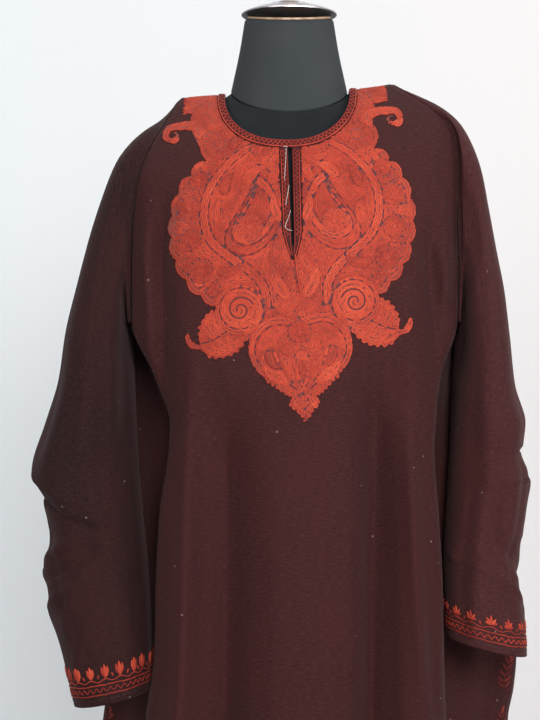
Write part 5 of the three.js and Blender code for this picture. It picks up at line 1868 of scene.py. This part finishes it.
COARSE = 2
g_in = stitched & np.roll(stitched, 1, 0) & np.roll(stitched, -1, 0) & np.roll(stitched, 1, 1) & np.roll(stitched, -1, 1)
g_x, g_d = field_x[::COARSE, ::COARSE], field_d[::COARSE, ::COARSE]
g_keep = g_in[::COARSE, ::COARSE]
g_depth = distance[::COARSE, ::COARSE]
g_place, g_normal = yoke.point(g_x, g_d)
g_place = g_place + g_normal * (pillow(g_depth) + 0.12)[..., None]
g_rows, g_columns = g_x.shape
quads = grid_faces(g_rows, g_columns)[:, ::-1]
quads = quads[g_keep.ravel()[quads].all(1)]
used, quads = np.unique(quads, return_inverse=True)
quads = quads.reshape(-1, 4)
ground_obj = make_object("yoke_ground_stitches", g_place.reshape(-1, 3)[used], quads, shaded_ground_material())
# where an outline opens, the ground shows the purple that is darkened as painted shade
opened = smooth(1.2 - (g_depth / np.maximum(gap[::COARSE, ::COARSE] + 0.45, 0.3)))
opened *= gap[::COARSE, ::COARSE] > 0.25
attribute = ground_obj.data.attributes.new("open", "FLOAT", "POINT")
attribute.data.foreach_set("value", opened.ravel()[used].astype(np.float32))
print("yoke ground, painted shade", len(quads), "faces")

# %% [markdown]
# ## Bound edges
#
# The neck and the slit are bound with narrow strips of the same wool, and stitched over: a zigzag between two plain
# rows. A strip on an edge is rounded, so its section here rolls down at both sides. The zigzag is again a chain row.


# %% Binding material
def binding_material():
    material, shader = node_material("binding")
    n = Nodes(material)
    place = n.add("TexCoord").outputs["Object"]
    fibre = n.noise(place, (900, 900, 900), 3.0)
    n.join(n.ramp(fibre, (0.3, (0.034, 0.0085, 0.0095)), (0.7, (0.085, 0.018, 0.018))), shader.inputs["Base Color"])
    shader.inputs["Roughness"].default_value = 0.85
    shader.inputs["Specular IOR Level"].default_value = 0.15
    n.join(n.bump(fibre, 0.0006, 0.6), shader.inputs["Normal"])
    return material


binding = binding_material()
BAND_LIFT = 1.7
# share of the way across the band, share of its lift
BAND_SECTION = [(0.0, -0.2), (0.015, 0.35), (0.07, 0.72), (0.2, 0.95), (0.4, 1.0), (0.6, 1.0), (0.8, 0.95), (0.93, 0.72),
                (0.985, 0.35), (1.0, -0.2)]


def on_panel(cloth, x, z):
    """Map rows and columns of places given by x and z on the front or back."""
    return np.stack(cloth.cells(x, cloth.down_at(x, z)), -1)


def raised(cloth, x, z, lift):
    cells = on_panel(cloth, x, z)
    place, normal = cloth.place(cells[..., 0], cells[..., 1])
    return place + normal * np.asarray(lift)[..., None]


# %% Neck band and slit bands
FRONT_TURNS = 260
BACK_TURNS = 150


def neck_line(share):
    """The neck band's line at one share of its width: round the front, then back behind the neck."""
    front_turn = (1 - np.cos(np.pi * np.linspace(0, 1, FRONT_TURNS))) / 2
    back_turn = (1 + np.cos(np.pi * np.linspace(0, 1, BACK_TURNS)[1:-1])) / 2
    grow = mix(BAND_WIDTH, 0.2, share)
    x, z = neckline(front_turn, NECK_DROP_FRONT, grow)
    bx, bz = neckline(back_turn, NECK_DROP_BACK, grow)
    return (x, z), (bx, bz)


rows = []
for share, lift in BAND_SECTION:
    (x, z), (bx, bz) = neck_line(share)
    rows.append(np.concatenate([raised(yoke, x, z, np.full_like(x, lift * BAND_LIFT)),
                                raised(nape, bx, bz, np.full_like(bx, lift * BAND_LIFT))]))
neck_grid = np.array(rows)
neck_band = make_object("band_neck", neck_grid, grid_faces(*neck_grid.shape[:2], tube=True), binding)
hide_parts("neck_band")

slit_grids = {}
for side, sign in (("left", -1), ("right", 1)):
    z = np.linspace(SLIT_TOP - 6, BAND_POINT, 130)
    near, far = band_reach(z)
    rows = [raised(yoke, slit_x(z) + sign * mix(near, far, share), z, np.full_like(z, lift * BAND_LIFT * 0.9))
            for share, lift in BAND_SECTION]
    slit_grids[side] = np.array(rows[::-1] if side == "left" else rows)
    make_object("band_slit_" + side, slit_grids[side], grid_faces(*slit_grids[side].shape[:2]), binding)
    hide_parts("slit_band_" + side)


def panel_run(cloth, x, z, base, half_width, height, tone, spacing=1.05):
    """A chain row along a line of x and z on a panel."""
    line = resampled(np.stack([x, z], -1), spacing)
    return chain_row(cloth, on_panel(cloth, line[:, 0], line[:, 1]), base, half_width, height, tone)


def zigzag(length, period):
    """Places along a line and the side of the line, 1 or -1, of a zigzag's corners."""
    count = max(2, round(2 * length / period))
    return np.linspace(0, 1, count), np.where(np.arange(count) % 2, 1.0, -1.0)


EDGE_ROWS = ((0.10, 0.38), (0.90, 0.12))
band_runs = []
for cloth, drop, turns in ((yoke, NECK_DROP_FRONT, FRONT_TURNS), (nape, NECK_DROP_BACK, BACK_TURNS)):
    turn = (1 - np.cos(np.pi * np.linspace(0, 1, turns))) / 2
    for share, tone in EDGE_ROWS:
        x, z = neckline(turn, drop, mix(BAND_WIDTH, 0.2, share))
        band_runs.append(panel_run(cloth, x, z, BAND_LIFT * 0.85, 0.85, 0.8, tone))
    x, z = neckline(turn, drop, BAND_WIDTH / 2)
    length = np.linalg.norm(np.diff(np.stack([x, z], -1), axis=0), axis=1)
    along = np.concatenate([[0], np.cumsum(length)])
    at, flip = zigzag(along[-1], 4.7)
    corner_turn = np.interp(at * along[-1], along, turn)
    low_x, low_z = neckline(corner_turn, drop, 1.9)
    high_x, high_z = neckline(corner_turn, drop, BAND_WIDTH - 1.9)
    x, z = np.where(flip > 0, low_x, high_x), np.where(flip > 0, low_z, high_z)
    band_runs.append(panel_run(cloth, x, z, BAND_LIFT * 0.95, 0.6, 0.8, 0.30, 0.8))
for sign in (-1, 1):
    z = np.linspace(SLIT_TOP - 9, BAND_POINT + 3, 150)
    near, far = band_reach(z)
    for share, tone in ((0.88, 0.38), (0.12, 0.12)):
        band_runs.append(panel_run(yoke, slit_x(z) + sign * mix(near, far, share), z, BAND_LIFT * 0.75, 0.62, 0.7, tone))
    at, flip = zigzag(z[0] - z[-1] - 20, 4.7)
    corner_z = z[0] - at * (z[0] - z[-1] - 20)
    near, far = band_reach(corner_z)
    x = slit_x(corner_z) + sign * mix(near, far, np.where(flip > 0, 0.72, 0.30))
    band_runs.append(panel_run(yoke, x, corner_z, BAND_LIFT * 0.88, 0.55, 0.75, 0.28, 0.8))
# tuck line that runs on below the slit
x, z = through(np.array([(4.8, 1216), (6.5, 1200), (9.5, 1178)], float), 30).T
band_runs.append(panel_run(yoke, x, z, 2.4, 1.0, 1.0, 0.34))
band_stitches = strips("band_stitches", band_runs, rust)

# %% [markdown]
# ## Basting thread
#
# A loose pale thread still holds the slit together. It goes in and out in long slack stitches. It is a thin round
# yarn, so a fine strip with a humped section is enough at this scale.


# %% Basting thread
def plain_thread_material():
    material, shader = node_material("basting thread")
    n = Nodes(material)
    place = n.add("TexCoord").outputs["Object"]
    twist = n.noise(place, (1800, 1800, 900), 2.0)
    n.join(n.ramp(twist, (0.3, (0.40, 0.37, 0.35)), (0.7, (0.66, 0.63, 0.60))), shader.inputs["Base Color"])
    shader.inputs["Roughness"].default_value = 0.6
    n.join(n.bump(twist, 0.0003, 0.5), shader.inputs["Normal"])
    return material


# across from x 0 and height of the long stitches of the basting thread
BASTING = [
    [(-6.8, 1330.6), (-2.4, 1330.2)],
    [(-4.1, 1329.0), (-4.8, 1312.0), (-6.0, 1294.0)],
    [(-1.2, 1289.0), (-2.5, 1280.3), (-4.9, 1267.0)],
    [(0.2, 1262.0), (-2.1, 1254.0), (-5.2, 1244.4), (-2.0, 1241.6), (1.8, 1241.0)],
]
thread_runs = []
for stitch in BASTING:
    x, z = through(np.array(stitch, float), 24).T
    line = resampled(np.stack([x, z], -1), 0.9)
    place, normal = yoke.place(*on_panel(yoke, line[:, 0], line[:, 1]).T)
    arch = np.sin(np.pi * np.linspace(0, 1, len(line))) ** 0.5
    place = place + normal * (1.2 + 1.3 * arch)[:, None]
    thread_runs.append((place, normal, np.full(len(line), 0.27), np.full(len(line), 0.45), np.full(len(line), 0.5)))
basting = strips("basting_thread", thread_runs, plain_thread_material())

# %% [markdown]
# ## Cuffs
#
# Both cuffs carry a border: two straight rows with a zigzag between them, a wavy stem above, and a line of buds that
# stand on the stem. The left sleeve has closed buds and the right one open flowers. The border goes all round, so its
# pattern is made once and repeated at even steps.


# %% Cuff maps
class CuffMap(ClothMap):
    """A sleeve's map near its cuff: millimetres round from the front middle, and up from the edge."""

    def __init__(self, grid, front_column, direction):
        super().__init__(grid, tube=True)
        round_step = np.linalg.norm(np.diff(self.grid[6], axis=0), axis=-1)
        self.around = np.concatenate([[0], np.cumsum(round_step)])
        up_step = np.linalg.norm(np.diff(self.grid[:14], axis=0), axis=-1)
        self.up_step = up_step.mean(0)
        self.start = self.around[front_column]
        self.direction = direction
        self.length = self.around[-1]

    def cells(self, line):
        place = (self.start + self.direction * line[:, 0]) % self.length
        column = np.interp(place, self.around, np.arange(len(self.around)))
        step = np.interp(column, np.arange(len(self.up_step)), self.up_step)
        return np.stack([line[:, 1] / step, column], -1)

    def chain(self, points, half_width, height, tone, spacing=1.1, base=0.15):
        line = resampled(np.asarray(points, float), spacing)
        return chain_row(self, self.cells(line), base, half_width, height, tone)

    def petal(self, points, half_width, height, tone, base=0.2):
        line = evenly(through(np.array(points, float), 24), 8)
        return petal_row(self, self.cells(line), base, half_width, height, tone)


cuffs = {
    "left": CuffMap(sleeves["left"], 21, -1),
    "right": CuffMap(sleeves["right"], 63, -1),
}
for side, cuff in cuffs.items():
    ahead = cuff.place(*cuff.cells(np.array([[0.0, 20.0], [20.0, 20.0]])).T)[0]
    if ahead[1, 0] < ahead[0, 0]:
        cuff.direction = 1
    outward = cuff.place(*cuff.cells(np.array([[0.0, 20.0]])).T)[1][0]
    if outward[1] > 0:
        cuff.normal = -cuff.normal
    print("cuff", side, "round", round(float(cuff.length)), "mm, step up", round(float(cuff.up_step.mean()), 2), "mm")

# %% Cuff stitches
LOWER_ROW = 10.5
UPPER_ROW = 20.0
STEM = 24.5
BUD_STEP = {"left": 15.5, "right": 21.0}


def bud(cuff, at, foot, tone):
    """A closed tulip bud: a long middle petal between two that lean out."""
    tall = dice.normal(13, 0.7)
    runs = [cuff.petal([(at, foot), (at + 0.2, foot + 0.5 * tall), (at, foot + tall)], 1.9, 1.2, tone + 0.12)]
    for lean in (-1, 1):
        petal = [(at + lean * 0.2, foot - 0.6), (at + lean * 2.4, foot + 4.5), (at + lean * 3.1, foot + tall - 2.2)]
        runs.append(cuff.petal(petal, 1.75, 1.1, tone))
    runs.append(cuff.chain([(at - 1.8, STEM - 0.2), (at, foot - 0.8), (at + 1.8, STEM - 0.2)], 0.45, 0.6, tone - 0.05))
    return runs


def flower(cuff, at, foot, tone):
    """An open flower: five petals in a fan over a small cup."""
    runs = []
    for n, lean in enumerate((-78, -40, 0, 40, 78)):
        angle = math.radians(lean)
        reach = 9.0 - 2.4 * abs(lean) / 78
        end = (at + reach * math.sin(angle), foot + 2.5 + reach * math.cos(angle))
        middle = (at + 0.55 * reach * math.sin(angle) * 1.1, foot + 2.5 + 0.5 * reach * math.cos(angle))
        runs.append(cuff.petal([(at + 0.5 * math.sin(angle), foot + 2), middle, end], 1.45, 1.0, tone + (0.1 if n % 2 else 0)))
    runs.append(cuff.chain([(at - 2.4, foot + 0.4), (at, foot - 0.8), (at + 2.4, foot + 0.4)], 0.8, 0.8, tone - 0.2))
    runs.append(cuff.chain([(at, STEM), (at, foot - 0.8)], 0.7, 0.7, tone - 0.15))
    return runs


def curl(cuff, at, foot, side, tone):
    """A small comma between two buds."""
    points = [(at, foot - 1.6), (at + 0.5 * side, foot + 0.8), (at + 1.6 * side, foot + 2.6)]
    return [cuff.petal(points, 0.95, 0.8, tone)]


for side, cuff in cuffs.items():
    runs = []
    count = round(cuff.length / BUD_STEP[side])
    step = cuff.length / count
    full = np.linspace(0, cuff.length, count * 14 + 1)
    for up, tone in ((LOWER_ROW, 0.22), (UPPER_ROW, 0.26)):
        wobble = 0.25 * np.sin(full * 0.21) + 0.15 * np.sin(full * 0.57)
        runs.append(cuff.chain(np.stack([full, up + wobble], -1), 0.75, 0.85, tone))
    teeth = 2 * round(cuff.length / 7.6)
    corner = np.linspace(0, cuff.length, teeth + 1)
    height = np.where(np.arange(teeth + 1) % 2, UPPER_ROW - 2.4, LOWER_ROW + 2.4)
    runs.append(cuff.chain(np.stack([corner, height], -1), 0.6, 0.8, 0.20 if side == "left" else 0.36, 0.9))
    wave = 1.4 * np.cos(2 * np.pi * full / step)
    runs.append(cuff.chain(np.stack([full, STEM + wave], -1), 0.42, 0.6, 0.42))
    for n in range(count):
        at = n * step + dice.normal(0, 0.6)
        foot = (27.6 if side == "left" else 26.4) + dice.normal(0, 0.4)
        tone = 0.40 + dice.normal(0, 0.05)
        runs += (bud if side == "left" else flower)(cuff, at, foot, tone)
        runs += curl(cuff, at + step * 0.5, foot + 0.8, 1 if n % 2 else -1, tone - 0.1)
    strips("cuff_stitches_" + side, runs, rust)

# %% [markdown]
# ## Sprigs and plain sewing
#
# Small sprigs climb each gore in a duller red. The hem, the cuffs and the joins to the gores are sewn by hand with
# short running stitches. They hardly show, but they are where a tailor's hand would be found.

# %% Sprigs on the gores
SPRIG_TOP = 778
SPRIG_STEP = 62
level_list = panel_levels()
gore_levels = level_list[level_list <= UNDERARM]
gore_maps = {}
for side in ("left", "right"):
    grid = gore_grid(side, 60)
    gore_maps[side] = ClothMap(grid)
    outer = np.abs(grid[..., 0]).argmax(axis=1)
    sign = -1 if side == "left" else 1
    width = np.linalg.norm(np.diff(grid, axis=1), axis=-1).mean(1)
    runs = []

    def gore_cells(line, side=side, outer=outer, width=width):
        """Map cells of places given by millimetres behind the outer fold and by level."""
        row = np.interp(line[:, 1], gore_levels, np.arange(len(gore_levels)))
        fold = np.interp(line[:, 1], gore_levels, outer)
        step = np.interp(line[:, 1], gore_levels, width)
        backwards = -1 if side == "left" else 1
        return np.stack([row, fold + backwards * line[:, 0] / step], -1)

    for n in range(6):
        foot = SPRIG_TOP - 44 - SPRIG_STEP * n
        lean = 3 if n % 2 else -3
        stem = through(np.array([(-17, foot), (-17 + lean, foot + 18), (-16, foot + 40)], float), 24)
        line = resampled(stem, 1.1)
        runs.append(chain_row(gore_maps[side], gore_cells(line), 0.15, 0.6, 0.7, 0.30))
        for k, (up, reach) in enumerate(((8, 8), (14, 9), (21, 8), (28, 7), (35, 6))):
            for turn in (-1, 1):
                root = np.array([np.interp(foot + up, stem[:, 1], stem[:, 0]), foot + up])
                leaf = np.array([root, root + (turn * reach * 0.6, 3.0), root + (turn * reach, 7.5)])
                line = evenly(through(leaf, 16), 7)
                runs.append(petal_row(gore_maps[side], gore_cells(line), 0.2, 1.3, 0.8, 0.36))
        bud_line = evenly(np.array([(-16, foot + 39), (-16, foot + 49)], float), 7)
        runs.append(petal_row(gore_maps[side], gore_cells(bud_line), 0.2, 1.9, 1.0, 0.45))
    strips("sprigs_" + side, runs, madder)


# %% Running stitches
STITCH = 3.4
STITCH_GAP = 3.6


def sewing_material():
    material, shader = node_material("sewing thread")
    n = Nodes(material)
    place = n.add("TexCoord").outputs["Object"]
    twist = n.noise(place, (1500, 1500, 1500), 2.0)
    n.join(n.ramp(twist, (0.3, (0.014, 0.006, 0.007)), (0.7, (0.034, 0.015, 0.016))), shader.inputs["Base Color"])
    shader.inputs["Roughness"].default_value = 0.55
    n.join(n.bump(twist, 0.0003, 0.5), shader.inputs["Normal"])
    return material


def running_stitches(cloth, rows_line, columns_line):
    """Short stitches along a line of map rows and columns."""
    place, _ = cloth.place(rows_line, columns_line)
    along = np.concatenate([[0], np.cumsum(np.linalg.norm(np.diff(place, axis=0), axis=1))])
    runs = []
    for start in np.arange(2, along[-1] - STITCH, STITCH + STITCH_GAP):
        at = start + STITCH * np.linspace(0, 1, 4)
        point, normal = cloth.place(np.interp(at, along, rows_line), np.interp(at, along, columns_line))
        arch = np.array([0.1, 0.9, 0.9, 0.1])
        runs.append((point, normal, np.full(4, 0.42), 0.7 * arch, np.full(4, 0.5)))
    return runs


front_map, back_map = ClothMap(front_grid), ClothMap(back_grid)
sewing = []
hem_row = float(np.interp(HEM + HEM_TURN - 3, level_list, np.arange(len(level_list))))
for cloth in (front_map, back_map, *gore_maps.values()):
    columns = np.linspace(0.5, cloth.grid.shape[1] - 1.5, 900)
    sewing += running_stitches(cloth, np.full_like(columns, hem_row), columns)
joins = np.interp(np.linspace(HEM + 4, UNDERARM - 8, 1200), level_list, np.arange(len(level_list)))
for cloth in (front_map, back_map):
    for column in (1.2, cloth.grid.shape[1] - 2.2):
        sewing += running_stitches(cloth, joins, np.full_like(joins, column))
for cuff in cuffs.values():
    line = np.stack([np.linspace(0, cuff.length * 0.998, 700), np.full(700, 6.0)], -1)
    cells = cuff.cells(line)
    breaks = np.flatnonzero(np.abs(np.diff(cells[:, 1])) > 10)
    for part in np.split(cells, breaks + 1):
        if len(part) > 8:
            sewing += running_stitches(cuff, part[:, 0], part[:, 1])
running = strips("running_stitches", sewing, sewing_material())

# %% [markdown]
# ## The cut of each cloth piece
#
# A gown is cut flat, so each cloth piece has a size on the cutting table. The lengths printed above give the panels and
# the gores. A sleeve is wider than it is long here, because its size is measured all the way round. The stitched pieces
# lie on the cloth that they were worked on.

# %% Cut sizes
for side in ("left", "right"):
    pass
print("declared", 9, "cloth pieces")
